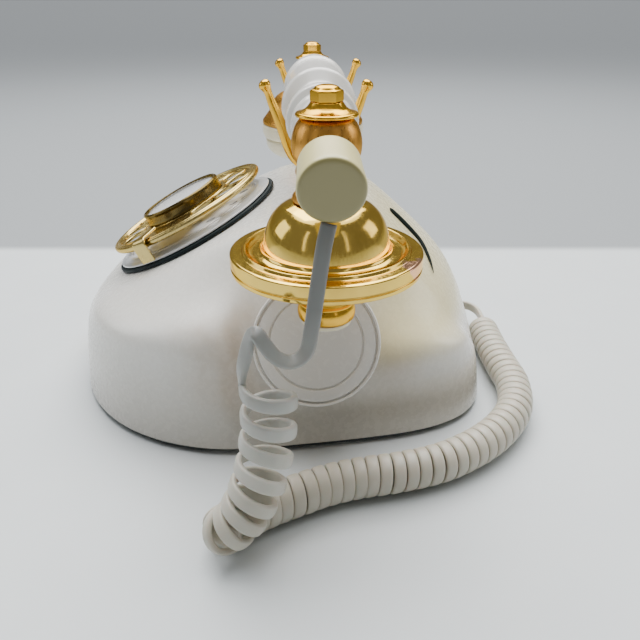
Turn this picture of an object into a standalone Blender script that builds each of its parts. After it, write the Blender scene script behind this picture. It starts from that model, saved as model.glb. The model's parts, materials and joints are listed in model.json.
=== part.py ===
"""Compact cradle telephone with a slanted rotary dial, two cradle forks and a brass-ended handset.

Metres, +Z up. The origin is the middle of the footprint on the surface that the feet stand on.
The handset lies along X with its transmitter at +X, and the dial faces -Y.
"""

import math

import bmesh
import bpy
from mathutils import Matrix, Vector

GAP = 0.0003
TURNED_STEPS = 20

# Body shell
HALF_WIDTH = 0.096
FRONT_REACH = 0.090
REAR_REACH = 0.102
WIDEST_Y = -0.006
FRONT_POWER = 2.25
REAR_POWER = 5.0
REAR_TAPER = 0.17
WALL_DRAFT = 0.0875
SHELL_THICKNESS = 0.0028
SHELL_BOTTOM = 0.0030
RIDGE_HEIGHT = 0.0885
SHOULDER_HEIGHTS = ((-0.096, 0.0455), (-0.020, 0.0530), (0.060, 0.0450), (0.100, 0.0430))
HUMP_HALF_WIDTHS = (
    (-0.060, HALF_WIDTH - 0.050),
    (0.019, HALF_WIDTH - 0.039),
    (0.090, HALF_WIDTH - 0.048),
)
SHOULDER_FALL = 1.7
SHOULDER_ROUND = 0.008
CREST_ROUND = 0.005
REAR_UPPER = (0.0456, 0.0860, -0.88)
REAR_LOWER = (0.0786, 0.0610, -1.70)
REAR_BOW = 4.4
STEEPNESS_SCALE = 0.75
SKIN_STEPS = 36
WALL_LEVELS = (SHELL_BOTTOM, 0.012, 0.022, 0.034)
DOME_STEPS = 11
SKIN_CENTRE_Y = 0.005

# Scooped right and left ends, with a medallion on each
CRADLE_Y = 0.019
SCOOP_X = HALF_WIDTH - 0.005
SCOOP_Z = 0.023
SCOOP_LEAN = math.radians(22.9)
SCOOP_HALF_LENGTH = 0.024
SCOOP_FLARE = 0.016
SCOOP_ROUND = 0.006
ROSETTE_RADIUS = 0.025
ROSETTE_Z = 0.045
ROSETTE_SEAT = -0.0022

# Base
PLATE_BOTTOM = 0.0012
PLATE_THICKNESS = 0.0015
PLATE_INSET = 0.0010
FOOT_RADIUS = 0.008
FEET = {
    "foot_front_left": (-0.060, -0.044),
    "foot_front_right": (0.060, -0.044),
    "foot_rear_left": (-0.056, 0.062),
    "foot_rear_right": (0.056, 0.062),
}
BASE_SCREWS = {"base_screw_front": -0.080, "base_screw_rear": 0.081}
SCREW_RADIUS = 0.0016
SCREW_HEAD_RADIUS = 0.0030
SCREW_LENGTH = 0.012
BOSS_RADIUS = 0.0042

# Badge on the front wall
BADGE_Z = 0.0155
BADGE_WIDTH = 0.016
BADGE_HEIGHT = 0.022
BADGE_LIFT = 0.0010
BADGE_THICKNESS = 0.0014

# Dial: heights are along its axis, from the plane of the pad
DIAL_Y = -0.040
DIAL_Z = 0.0667
DIAL_TILT = math.radians(27)
DIAL_SEAT = -0.0010
WHEEL_RADIUS = 0.0394
GASKET_INNER = WHEEL_RADIUS
GASKET_OUTER = GASKET_INNER + 0.0028
GASKET_TOP = 0.0013
CASE_RADIUS = GASKET_INNER - 0.0024
CASE_DEPTH = 0.020
CASE_WALL = 0.0012
WHEEL_LOW = 0.0074
WHEEL_HIGH = 0.0106
FINGER_HOLES = 10
FINGER_HOLE_CIRCLE = 0.711 * WHEEL_RADIUS
FINGER_HOLE_RADIUS = 0.2286 * FINGER_HOLE_CIRCLE
FINGER_HOLE_STEP = math.radians(30)
FIRST_HOLE_ANGLE = math.radians(30)
HUB_RADIUS = FINGER_HOLE_CIRCLE - FINGER_HOLE_RADIUS - 0.0016
HUB_TOP = 0.0156
STOP_ANGLE = math.radians(-22)
STOP_WIDTH = 0.009
STOP_REACH = FINGER_HOLE_CIRCLE + 0.0010
SHAFT_RADIUS = 0.0030
MAIN_TEETH = 32
PINION_TEETH = 8
GOVERNOR_X = 0.012 - CASE_RADIUS
GEAR_MODULE = -2 * GOVERNOR_X / (MAIN_TEETH + PINION_TEETH)
GEAR_LEVEL = -0.0120
GEAR_THICKNESS = 0.0020

# Line jack in the rear wall
JACK_X = -0.050
JACK_FACE_Y = 0.0915
JACK_WIDTH = 0.0140
JACK_HEIGHT = 0.0120
JACK_DEPTH = 0.0160
JACK_LOW = 0.0045
SOCKET_WIDTH = 0.0100
SOCKET_HEIGHT = 0.0080
SOCKET_DEPTH = 0.0110

# Handset
HANDSET_Z = 0.125
HANDSET_YAW = math.radians(2.2)
BALL_X = HALF_WIDTH + 0.004
GRIP_HALF_LENGTH = BALL_X - 0.0112
GRIP_BORE = 0.0045
TIE_ROD_RADIUS = 0.0030
TIE_ROD_HALF_LENGTH = BALL_X - 0.0075
CORD_CAP_DROOP = math.radians(10)

# Cradle
FORK_X = GRIP_HALF_LENGTH - 0.0438
FORK_DROP = 0.0204
POST_RADIUS = 0.0040
POST_CLEARANCE = 0.0006
POST_BOTTOM = RIDGE_HEIGHT - 0.0202
YOKE_THICKNESS = 0.006
YOKE_HALF_LENGTH = FORK_X + 0.006
YOKE_HALF_WIDTH = 0.005
ROD_RADIUS = 0.00215
SWITCH_ARM = 0.016

# Cord. The tail and the hanging coil are placed from the transmitter's axis in X and as shares of the
# handset's height in Z, and the coil on the table in half-widths of the body in X.
TAIL_RADIUS = 0.0013
COIL_RADIUS = 0.0083
COIL_AXIS_Z = COIL_RADIUS + GAP
BOOT_X = -0.025
BOOT_Y = 0.0980
BOOT_Z = 0.0105
BOOT_NECK = 0.0035
TAIL_ROUTE = (
    (0.0315, 0.0234, 0.876),
    (0.0332, 0.0222, 0.836),
    (0.0345, 0.0212, 0.788),
    (0.0358, 0.0197, 0.707),
    (0.0368, 0.0184, 0.624),
    (0.0376, 0.0168, 0.563),
    (0.0390, 0.0126, 0.544),
    (0.0405, 0.0080, 0.568),
    (0.0412, 0.0048, 0.614),
    (0.0410, 0.0025, 0.658),
    (0.0395, 0.0012, 0.640),
    (0.0380, 0.0018, 0.588),
    (0.0376, 0.0032, 0.540),
    (0.0375, 0.0042, 0.498),
)
HANGING_COIL_ROUTE = (
    (0.0375, 0.0042, 0.494),
    (0.0400, 0.0042, 0.371),
    (0.0430, 0.0026, 0.301),
    (0.0460, 0.0006, 0.232),
    (0.0490, -0.0022, 0.184),
    (0.0510, -0.0044, 0.144),
)
FLOOR_COIL_ROUTE = (
    (1.417, 0.0015),
    (1.365, 0.0100),
    (1.286, 0.0200),
    (1.219, 0.0315),
    (1.177, 0.0500),
    (1.115, 0.0660),
    (0.969, 0.0840),
    (0.771, 0.1010),
    (0.568, 0.1085),
    (0.385, 0.1070),
    (0.177, 0.1060),
    (0.002, 0.1060),
)
FLOOR_COIL_SPLIT = 6
COIL_SPACING = 0.010
TAIL_SPACING = 0.005
END_ROUTE = (
    (-0.0002, 0.1060, 0.0086),
    (-0.0065, 0.1068, 0.0087),
    (-0.0130, 0.1075, 0.0089),
    (-0.0190, 0.1068, 0.0094),
    (-0.0228, 0.1045, 0.0100),
    (-0.0248, 0.1010, 0.0104),
    (-0.0250, 0.0983, 0.0105),
)


# Materials


def finish(name, colour, roughness, metallic=0.0):
    material = bpy.data.materials.new(name)
    material.use_nodes = True
    shader = material.node_tree.nodes["Principled BSDF"]
    shader.inputs["Base Color"].default_value = (*colour, 1.0)
    shader.inputs["Roughness"].default_value = roughness
    shader.inputs["Metallic"].default_value = metallic
    return material


def make_finishes():
    return {
        "white": finish("white_plastic", (0.82, 0.81, 0.78), 0.30),
        "cream": finish("cream_plastic", (0.78, 0.76, 0.60), 0.35),
        "brass": finish("polished_brass", (0.83, 0.60, 0.24), 0.15, 1.0),
        "steel": finish("zinc_plated_steel", (0.60, 0.60, 0.60), 0.40, 1.0),
        "dark": finish("dark_plate", (0.05, 0.05, 0.05), 0.60),
        "rubber": finish("black_rubber", (0.03, 0.05, 0.06), 0.55),
        "cord": finish("cord_plastic", (0.80, 0.80, 0.76), 0.45),
        "window": finish("clear_window", (0.90, 0.92, 0.92), 0.05),
        "card": finish("white_card", (0.88, 0.87, 0.84), 0.70),
        "board": finish("circuit_board", (0.30, 0.22, 0.10), 0.60),
        "copper": finish("copper_winding", (0.60, 0.25, 0.12), 0.35, 1.0),
    }


# Shapes


def reference_frame(name, location, rotation=(0.0, 0.0, 0.0), parent=None):
    """An empty that other pieces are placed from."""
    frame = bpy.data.objects.new(name, None)
    bpy.context.scene.collection.objects.link(frame)
    frame.location = location
    frame.rotation_euler = rotation
    frame.parent = parent
    return frame


def add_piece(name, mesh, material, frame=None):
    piece = bpy.data.objects.new(name, mesh)
    bpy.context.scene.collection.objects.link(piece)
    mesh.materials.append(material)
    mesh.shade_smooth()
    mesh.set_sharp_from_angle(angle=math.radians(35))
    piece.parent = frame
    return piece


def finish_mesh(name, shape):
    bmesh.ops.recalc_face_normals(shape, faces=shape.faces)
    mesh = bpy.data.meshes.new(name)
    shape.to_mesh(mesh)
    shape.free()
    return mesh


def bridge(shape, first, second):
    """Joins two rings of vertices with faces; a ring of one vertex is a pole."""
    for step in range(max(len(first), len(second))):
        corners = [
            first[step % len(first)],
            second[step % len(second)],
            second[(step + 1) % len(second)],
            first[(step + 1) % len(first)],
        ]
        corners = list(dict.fromkeys(corners))
        shape.faces.new(corners)


def turned_mesh(name, profile, steps=TURNED_STEPS):
    """A lathe shape from (radius, height) points. Ends off the axis are joined together, as on a ring."""
    shape = bmesh.new()
    rings = []
    for radius, height in profile:
        count = steps if radius > 0 else 1
        turns = [2 * math.pi * step / steps for step in range(count)]
        points = [(radius * math.cos(turn), radius * math.sin(turn), height) for turn in turns]
        rings.append([shape.verts.new(point) for point in points])
    for upper, lower in zip(rings, rings[1:]):
        bridge(shape, upper, lower)
    if profile[0][0] > 0:
        bridge(shape, rings[-1], rings[0])
    return finish_mesh(name, shape)


def prism_mesh(name, outline, low, high):
    """An outline in XY drawn up from height low to height high."""
    shape = bmesh.new()
    bottom = [shape.verts.new((x, y, low)) for x, y in outline]
    top = [shape.verts.new((x, y, high)) for x, y in outline]
    bridge(shape, bottom, top)
    shape.faces.new(bottom)
    shape.faces.new(top)
    return finish_mesh(name, shape)


def box_mesh(name, low, high):
    outline = ((low[0], low[1]), (high[0], low[1]), (high[0], high[1]), (low[0], high[1]))
    return prism_mesh(name, outline, low[2], high[2])


def circle_points(radius, steps, centre=(0.0, 0.0), start=0.0, sweep=2 * math.pi):
    """Points round a circle, or along an arc when sweep is less than a full turn."""
    last = steps if sweep == 2 * math.pi else steps - 1
    angles = [start + sweep * step / last for step in range(steps)]
    return [(centre[0] + radius * math.cos(a), centre[1] + radius * math.sin(a)) for a in angles]


def disc_mesh(name, radius, low, high, steps=TURNED_STEPS, centre=(0.0, 0.0)):
    return prism_mesh(name, circle_points(radius, steps, centre), low, high)


def combine(piece, name, mesh, operation="DIFFERENCE", frame=None):
    """Cuts a helper shape out of a piece, or joins it on."""
    helper = bpy.data.objects.new(name, mesh)
    bpy.context.scene.collection.objects.link(helper)
    helper.parent = frame
    helper.hide_render = True
    helper.display_type = "WIRE"
    modifier = piece.modifiers.new(name, "BOOLEAN")
    modifier.object = helper
    modifier.operation = operation


def smooth_route(points, spacing):
    """Evenly spaced points on a Catmull-Rom curve through the given points."""
    knots = [Vector(point) for point in points]
    knots = [2 * knots[0] - knots[1]] + knots + [2 * knots[-1] - knots[-2]]
    fine = []
    for before, start, end, after in zip(knots, knots[1:], knots[2:], knots[3:]):
        for step in range(12):
            t = step / 12
            fine.append(
                0.5
                * (
                    2 * start
                    + (end - before) * t
                    + (2 * before - 5 * start + 4 * end - after) * t**2
                    + (3 * start - before - 3 * end + after) * t**3
                )
            )
    fine.append(knots[-2])
    lengths = [0.0]
    for start, end in zip(fine, fine[1:]):
        lengths.append(lengths[-1] + (end - start).length)
    count = max(2, round(lengths[-1] / spacing) + 1)
    route = []
    index = 0
    for step in range(count):
        wanted = lengths[-1] * step / (count - 1)
        while index < len(fine) - 2 and lengths[index + 1] < wanted:
            index += 1
        share = (wanted - lengths[index]) / (lengths[index + 1] - lengths[index])
        route.append(fine[index].lerp(fine[index + 1], min(1.0, share)))
    return route


def add_tube(name, points, radius, material, sides):
    curve = bpy.data.curves.new(name, "CURVE")
    curve.dimensions = "3D"
    curve.bevel_depth = radius
    curve.bevel_resolution = sides
    curve.use_fill_caps = True
    spline = curve.splines.new("POLY")
    spline.points.add(len(points) - 1)
    for place, point in zip(spline.points, points):
        place.co = (*point, 1.0)
    tube = bpy.data.objects.new(name, curve)
    bpy.context.scene.collection.objects.link(tube)
    curve.materials.append(material)
    return tube


# The body's outer surface


def soft_max(a, b, width):
    return (a + b + math.hypot(a - b, width)) / 2


def soft_min(a, b, width):
    return (a + b - math.hypot(a - b, width)) / 2


def between(table, y):
    """A smooth value at y from a table of (y, value) pairs."""
    if y <= table[0][0]:
        return table[0][1]
    for (low, first), (high, second) in zip(table, table[1:]):
        if y <= high:
            share = (y - low) / (high - low)
            return first + (second - first) * share * share * (3 - 2 * share)
    return table[-1][1]


def plan_value(x, y):
    """How far a point is out from the middle of the footprint, as a share of the way to its outline."""
    along = y - WIDEST_Y
    power, reach, half = FRONT_POWER, FRONT_REACH, HALF_WIDTH
    if along > 0:
        power, reach, half = REAR_POWER, REAR_REACH, HALF_WIDTH - REAR_TAPER * along
    return ((abs(x) / half) ** power + (abs(along) / reach) ** power) ** (1 / power)


def top_height(x, y):
    """The top: dial pad, ridge and rear slope in the middle, falling to a shoulder round the outside."""
    pad = DIAL_Z + (y - DIAL_Y) * math.tan(DIAL_TILT)
    bowed = y + REAR_BOW * x * x
    rear = [height + slope * (bowed - place) for place, height, slope in (REAR_UPPER, REAR_LOWER)]
    crest = soft_min(soft_min(pad, RIDGE_HEIGHT, CREST_ROUND), soft_min(*rear, CREST_ROUND), CREST_ROUND)
    shoulder = between(SHOULDER_HEIGHTS, y)
    past_hump = soft_max(abs(x) - between(HUMP_HALF_WIDTHS, y), 0.0, CREST_ROUND)
    to_wall = max(0.0005, (1 - plan_value(x, y)) * HALF_WIDTH)
    fall = (to_wall / (past_hump + to_wall)) ** SHOULDER_FALL
    return shoulder + (crest - shoulder) * fall


def scoop_value(x, y, z):
    lean = (abs(x) - SCOOP_X) * math.cos(SCOOP_LEAN) + (z - SCOOP_Z) * math.sin(SCOOP_LEAN)
    aside = max(0.0, abs(y - CRADLE_Y) - SCOOP_HALF_LENGTH)
    return lean - aside * aside / SCOOP_FLARE


def outside(x, y, z):
    """Above 0 outside the body's outer surface, below 0 inside, in metres."""
    wall = (plan_value(x, y) - 1) * HALF_WIDTH + WALL_DRAFT * z
    top = (z - top_height(x, y)) * STEEPNESS_SCALE
    return soft_max(soft_max(wall, top, SHOULDER_ROUND), scoop_value(x, y, z), SCOOP_ROUND)


def skin_point(start, direction, inset=0.0):
    """Where a ray from inside the body meets its outer surface, or a surface the inset below it."""
    near, far = 0.0, 0.16
    for _ in range(26):
        middle = (near + far) / 2
        if outside(*(start + direction * middle)) < -inset:
            near = middle
        else:
            far = middle
    return start + direction * near


def skin_rings(inset):
    """Rings of points up the wall and over the top, ending in one point."""
    turns = [2 * math.pi * step / SKIN_STEPS for step in range(SKIN_STEPS)]
    level = [Vector((math.cos(turn), math.sin(turn), 0.0)) for turn in turns]
    rings = []
    for height in WALL_LEVELS:
        start = Vector((0.0, SKIN_CENTRE_Y, height))
        rings.append([skin_point(start, way, inset) for way in level])
    for step in range(1, DOME_STEPS):
        lift = math.pi / 2 * step / DOME_STEPS
        ways = [way * math.cos(lift) + Vector((0.0, 0.0, math.sin(lift))) for way in level]
        rings.append([skin_point(start, way, inset) for way in ways])
    rings.append([skin_point(start, Vector((0.0, 0.0, 1.0)), inset)])
    return rings


def inner_height(x, y):
    """The height halfway through the shell above a point of the base."""
    return skin_point(Vector((x, y, SHELL_BOTTOM)), Vector((0.0, 0.0, 1.0)), SHELL_THICKNESS / 2).z


def rosette_frame(name, side):
    x = SCOOP_X - (ROSETTE_Z - SCOOP_Z) * math.tan(SCOOP_LEAN)
    return reference_frame(
        name, (side * x, CRADLE_Y, ROSETTE_Z), (0.0, side * (math.pi / 2 - SCOOP_LEAN), 0.0)
    )


# Base and shell


def shell_mesh():
    shape = bmesh.new()
    skins = []
    for inset in (0.0, SHELL_THICKNESS):
        rings = [[shape.verts.new(point) for point in ring] for ring in skin_rings(inset)]
        for lower, upper in zip(rings, rings[1:]):
            bridge(shape, lower, upper)
        skins.append(rings[0])
    bridge(shape, *skins)
    return finish_mesh("body_shell", shape)


def make_shell(looks, dial_axis, rosette_axes, boot_axis):
    shell = add_piece("body_shell", shell_mesh(), looks["white"])
    for name, y in BASE_SCREWS.items():
        top = min(inner_height(0.0, y + side * BOSS_RADIUS) for side in (-1, 1))
        bottom = SHELL_BOTTOM + 4 * GAP
        bore = SCREW_RADIUS + GAP
        profile = ((bore, bottom), (BOSS_RADIUS, bottom), (BOSS_RADIUS, top), (bore, top))
        boss = turned_mesh(name + "_boss", profile, 12)
        boss.transform(Matrix.Translation((0.0, y, 0.0)))
        combine(shell, name + "_boss", boss, "UNION")
    seat = disc_mesh("dial_seat_cut", GASKET_OUTER + 2 * GAP, DIAL_SEAT, 0.02, 28)
    combine(shell, "dial_seat_cut", seat, frame=dial_axis)
    well = disc_mesh("dial_well_cut", CASE_RADIUS + 2 * GAP, -0.02, 0.02, 28)
    combine(shell, "dial_well_cut", well, frame=dial_axis)
    for name, axis in rosette_axes.items():
        pocket = disc_mesh(name + "_cut", ROSETTE_RADIUS + GAP, ROSETTE_SEAT, 0.02)
        combine(shell, name + "_cut", pocket, frame=axis)
    for name, side in (("right_post_cut", 1), ("left_post_cut", -1)):
        hole = disc_mesh(name, POST_RADIUS + POST_CLEARANCE, 0.07, 0.10, 14, (side * FORK_X, CRADLE_Y))
        combine(shell, name, hole)
    combine(shell, "boot_cut", disc_mesh("boot_cut", BOOT_NECK + GAP, -0.012, 0.004, 14), frame=boot_axis)
    low, high = jack_box(GAP)
    jack_hole = box_mesh("jack_cut", (low[0], low[1], 0.0), (high[0], high[1] + 0.01, high[2]))
    combine(shell, "jack_cut", jack_hole)


def make_base(looks):
    centre = Vector((0.0, SKIN_CENTRE_Y, SHELL_BOTTOM))
    ways = [Vector((x, y, 0.0)) for x, y in circle_points(1.0, SKIN_STEPS + 1)[:-1]]
    ring = [skin_point(centre, way, PLATE_INSET) for way in ways]
    top = PLATE_BOTTOM + PLATE_THICKNESS
    outline = [(point.x, point.y) for point in ring]
    plate = add_piece("base_plate", prism_mesh("base_plate", outline, PLATE_BOTTOM, top), looks["dark"])
    for name, y in BASE_SCREWS.items():
        hole = disc_mesh(name + "_hole", SCREW_RADIUS + GAP, -0.01, 0.01, 12, (0.0, y))
        combine(plate, name + "_hole", hole)
        head = PLATE_BOTTOM - GAP
        profile = (
            (0.0, GAP),
            (SCREW_HEAD_RADIUS, GAP),
            (SCREW_HEAD_RADIUS, head),
            (SCREW_RADIUS, head),
            (SCREW_RADIUS, head + SCREW_LENGTH),
            (0.0, head + SCREW_LENGTH),
        )
        add_piece(name, turned_mesh(name, profile, 12), looks["steel"]).location = (0.0, y, 0.0)
    for name, (x, y) in FEET.items():
        foot = add_piece(name, disc_mesh(name, FOOT_RADIUS, 0.0, PLATE_BOTTOM - GAP, 16), looks["rubber"])
        foot.location = (x, y, 0.0)


def make_rosettes(looks, axes):
    for name, axis in axes.items():
        low = ROSETTE_SEAT + GAP
        outer = ROSETTE_RADIUS
        profile = (
            (0.0, 0.0019),
            (outer - 0.0100, 0.0020),
            (outer - 0.0076, 0.0022),
            (outer - 0.0070, 0.0016),
            (outer - 0.0064, 0.0024),
            (outer - 0.0024, 0.0026),
            (outer - 0.0018, 0.0019),
            (outer - 0.0011, 0.0032),
            (outer, 0.0026),
            (outer, low),
            (0.0, low),
        )
        add_piece(name, turned_mesh(name, profile), looks["white"], axis)


def make_badge(looks):
    """A plain oval plate on the front wall."""
    wall = skin_point(Vector((0.0, SKIN_CENTRE_Y, BADGE_Z)), Vector((0.0, -1.0, 0.0)))
    tilt = math.pi / 2 - math.atan(WALL_DRAFT)
    axis = reference_frame("badge_axis", wall, (tilt, 0.0, 0.0))
    outline = [(BADGE_WIDTH / 2 * x, BADGE_HEIGHT / 2 * y) for x, y in circle_points(1.0, 18)]
    mesh = prism_mesh("front_badge", outline, BADGE_LIFT, BADGE_LIFT + BADGE_THICKNESS)
    add_piece("front_badge", mesh, looks["brass"], axis)


# Dial


def gear_outline(teeth, phase=0.0):
    """Straight-sided teeth with working clearance."""
    pitch_radius = GEAR_MODULE * teeth / 2
    root = pitch_radius - 1.25 * GEAR_MODULE
    tip = pitch_radius + 0.75 * GEAR_MODULE
    step = 2 * math.pi / teeth
    outline = []
    for tooth in range(teeth):
        for radius, share in ((root, -0.30), (tip, -0.12), (tip, 0.12), (root, 0.30)):
            angle = (tooth + phase + share) * step
            outline.append((radius * math.cos(angle), radius * math.sin(angle)))
    return outline


def make_dial_housing(looks, dial_axis):
    low = DIAL_SEAT + GAP
    inner, outer = GASKET_INNER, GASKET_OUTER
    gasket = ((inner, low), (outer, low), (outer, GASKET_TOP), (inner, GASKET_TOP))
    add_piece("dial_gasket", turned_mesh("dial_gasket", gasket, 28), looks["rubber"], dial_axis)
    flange = GASKET_INNER - GAP
    add_piece("dial_case", turned_mesh("dial_case", case_profile(flange, low), 28), looks["steel"], dial_axis)
    plate_low = 2 * GAP
    plate = (
        (SHAFT_RADIUS + GAP, plate_low),
        (flange, plate_low),
        (flange, 0.0018),
        (flange - 0.0022, 0.0030),
        (SHAFT_RADIUS + GAP, 0.0030),
    )
    add_piece("number_plate", turned_mesh("number_plate", plate, 28), looks["card"], dial_axis)


def case_profile(flange, low):
    inner = CASE_RADIUS - CASE_WALL
    return (
        (0.0, CASE_WALL - CASE_DEPTH),
        (inner, CASE_WALL - CASE_DEPTH),
        (inner, GAP),
        (flange, GAP),
        (flange, low),
        (CASE_RADIUS, low),
        (CASE_RADIUS, -CASE_DEPTH),
        (0.0, -CASE_DEPTH),
    )


def make_finger_stop(looks, dial_axis):
    foot = GASKET_TOP + GAP
    inner = WHEEL_RADIUS + 3 * GAP
    outer = inner + 0.0016
    arm = WHEEL_HIGH + 2 * GAP
    side = (
        (inner, foot),
        (outer, foot),
        (outer, arm + 0.0013),
        (STOP_REACH, arm + 0.0013),
        (STOP_REACH, arm),
        (inner, arm),
    )
    mesh = prism_mesh("finger_stop", side, -STOP_WIDTH / 2, STOP_WIDTH / 2)
    mesh.transform(Matrix.Rotation(STOP_ANGLE, 4, "Z") @ Matrix.Rotation(math.pi / 2, 4, "X"))
    add_piece("finger_stop", mesh, looks["brass"], dial_axis)


def finger_holes_mesh():
    shape = bmesh.new()
    for hole in range(FINGER_HOLES):
        angle = FIRST_HOLE_ANGLE + hole * FINGER_HOLE_STEP
        centre = (FINGER_HOLE_CIRCLE * math.cos(angle), FINGER_HOLE_CIRCLE * math.sin(angle))
        shape.from_mesh(disc_mesh(f"finger_hole_{hole}", FINGER_HOLE_RADIUS, 0.0, 0.02, 12, centre))
    return finish_mesh("finger_holes", shape)


def make_finger_wheel(looks, dial_axis):
    low, high = WHEEL_LOW, WHEEL_HIGH
    middle = (low + high) / 2
    rim = WHEEL_RADIUS
    profile = (
        (0.0, middle + 0.0006),
        (rim - 0.0042, middle + 0.0006),
        (rim - 0.0030, high),
        (rim - 0.0010, high),
        (rim, middle + 0.0006),
        (rim, middle - 0.0006),
        (rim - 0.0010, low),
        (rim - 0.0030, low),
        (rim - 0.0042, middle - 0.0006),
        (0.0, middle - 0.0006),
    )
    wheel = add_piece("finger_wheel", turned_mesh("finger_wheel", profile, 32), looks["brass"], dial_axis)
    combine(wheel, "finger_holes", finger_holes_mesh(), frame=dial_axis)
    cap_low = middle + 0.0006 + GAP
    card_radius = HUB_RADIUS - 0.0018
    hub = (
        (0.0, cap_low),
        (0.0, HUB_TOP - 0.0022),
        (card_radius + GAP, HUB_TOP - 0.0022),
        (card_radius + GAP, HUB_TOP),
        (HUB_RADIUS - 0.0006, HUB_TOP),
        (HUB_RADIUS, HUB_TOP - 0.0008),
        (HUB_RADIUS, cap_low + 0.0008),
        (HUB_RADIUS - 0.0006, cap_low),
    )
    add_piece("hub_cap", turned_mesh("hub_cap", hub[1:] + hub[:1], 24), looks["brass"], dial_axis)
    card_low = HUB_TOP - 0.0022 + GAP
    card = disc_mesh("number_card", card_radius, card_low, card_low + 0.0005)
    add_piece("number_card", card, looks["card"], dial_axis)
    glass_low = card_low + 0.0005 + GAP
    glass = (
        (0.0, glass_low + 0.0022),
        (card_radius * 0.5, glass_low + 0.0019),
        (card_radius * 0.85, glass_low + 0.0012),
        (card_radius, glass_low + 0.0006),
        (card_radius, glass_low),
        (0.0, glass_low),
    )
    add_piece("card_window", turned_mesh("card_window", glass), looks["window"], dial_axis)
    shaft = disc_mesh("dial_shaft", SHAFT_RADIUS, -CASE_DEPTH + CASE_WALL + GAP, middle - 0.0006 - GAP, 12)
    add_piece("dial_shaft", shaft, looks["steel"], dial_axis)
    gear = prism_mesh("main_gear", gear_outline(MAIN_TEETH), GEAR_LEVEL, GEAR_LEVEL + GEAR_THICKNESS)
    gear = add_piece("main_gear", gear, looks["brass"], dial_axis)
    bore = disc_mesh("main_gear_bore", SHAFT_RADIUS + GAP, GEAR_LEVEL - 0.005, GEAR_LEVEL + 0.005, 12)
    combine(gear, "main_gear_bore", bore, frame=dial_axis)


def make_governor(looks, dial_axis):
    """The pinion, spindle and drum that the main gear drives, and the fixed cup round the drum."""
    axis = reference_frame("governor_axis", (GOVERNOR_X, 0.0, 0.0), parent=dial_axis)
    low = GEAR_LEVEL - 0.001
    spindle = prism_mesh("governor_spindle", gear_outline(PINION_TEETH, 0.5), low, low + 0.004)
    spindle = add_piece("governor_spindle", spindle, looks["steel"], axis)
    drum = (
        (0.0, -0.0180),
        (0.0012, -0.0180),
        (0.0012, -0.0070),
        (0.0062, -0.0070),
        (0.0062, -0.0042),
        (0.0, -0.0042),
    )
    combine(spindle, "governor_drum", turned_mesh("governor_drum", drum, 12), "UNION", axis)
    cup = ((0.0068, -0.0078), (0.0080, -0.0078), (0.0080, -0.0030), (0.0068, -0.0030))
    add_piece("governor_cup", turned_mesh("governor_cup", cup, 16), looks["steel"], axis)


# Cradle and hook switch


def fork_mesh():
    """A bent rod with ball tips in the YZ plane: (y, height, radius) from a tip to the middle, mirrored."""
    rod = ROD_RADIUS
    half = (
        (0.0203, 0.0324, 0.0),
        (0.0201, 0.0321, 0.0011),
        (0.0194, 0.0308, rod),
        (0.0187, 0.0292, 0.0019),
        (0.0180, 0.0276, 0.0016),
        (0.0167, 0.0239, 0.0018),
        (0.0142, 0.0179, rod),
        (0.0125, 0.0129, rod),
        (0.0107, 0.0074, rod),
        (0.0084, 0.0034, rod),
        (0.0048, 0.0009, rod),
        (0.0, 0.0, rod),
    )
    points = list(half) + [(-y, z, radius) for y, z, radius in reversed(half[:-1])]
    shape = bmesh.new()
    rings = []
    for index, (y, z, radius) in enumerate(points):
        before = points[max(0, index - 1)]
        after = points[min(len(points) - 1, index + 1)]
        along = Vector((0.0, after[0] - before[0], after[1] - before[1])).normalized()
        across = along.cross(Vector((1.0, 0.0, 0.0)))
        centre = Vector((0.0, y, HANDSET_Z - FORK_DROP + z))
        if radius == 0:
            rings.append([shape.verts.new(centre)])
            continue
        ring = [centre + Vector((u, 0.0, 0.0)) + across * v for u, v in circle_points(radius, 8)]
        rings.append([shape.verts.new(point) for point in ring])
    for first, second in zip(rings, rings[1:]):
        bridge(shape, first, second)
    return finish_mesh("fork", shape)


def make_cradle(looks):
    seat = RIDGE_HEIGHT + 0.0010
    rise = HANDSET_Z - FORK_DROP - seat
    turned = ((0.0068, 0.0), (0.0062, 0.11), (0.0034, 0.33), (0.0046, 0.53), (0.0030, 0.76), (0.0038, 0.96))
    post = [(0.0, POST_BOTTOM), (POST_RADIUS, POST_BOTTOM), (POST_RADIUS, seat)]
    post += [(radius, seat + share * rise) for radius, share in turned]
    post += [(0.0030, seat + 1.08 * rise), (0.0, seat + 1.09 * rise)]
    for name, side in (("cradle_fork_right", 1), ("cradle_fork_left", -1)):
        mount = reference_frame(name + "_mount", (side * FORK_X, CRADLE_Y, 0.0))
        fork = add_piece(name, fork_mesh(), looks["brass"], mount)
        combine(fork, name + "_post", turned_mesh(name + "_post", post, 12), "UNION", mount)
    top = POST_BOTTOM - GAP
    low = (-YOKE_HALF_LENGTH, CRADLE_Y - YOKE_HALF_WIDTH, top - YOKE_THICKNESS)
    high = (YOKE_HALF_LENGTH, CRADLE_Y + YOKE_HALF_WIDTH, top)
    add_piece("cradle_yoke", box_mesh("cradle_yoke", low, high), looks["steel"])


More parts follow.
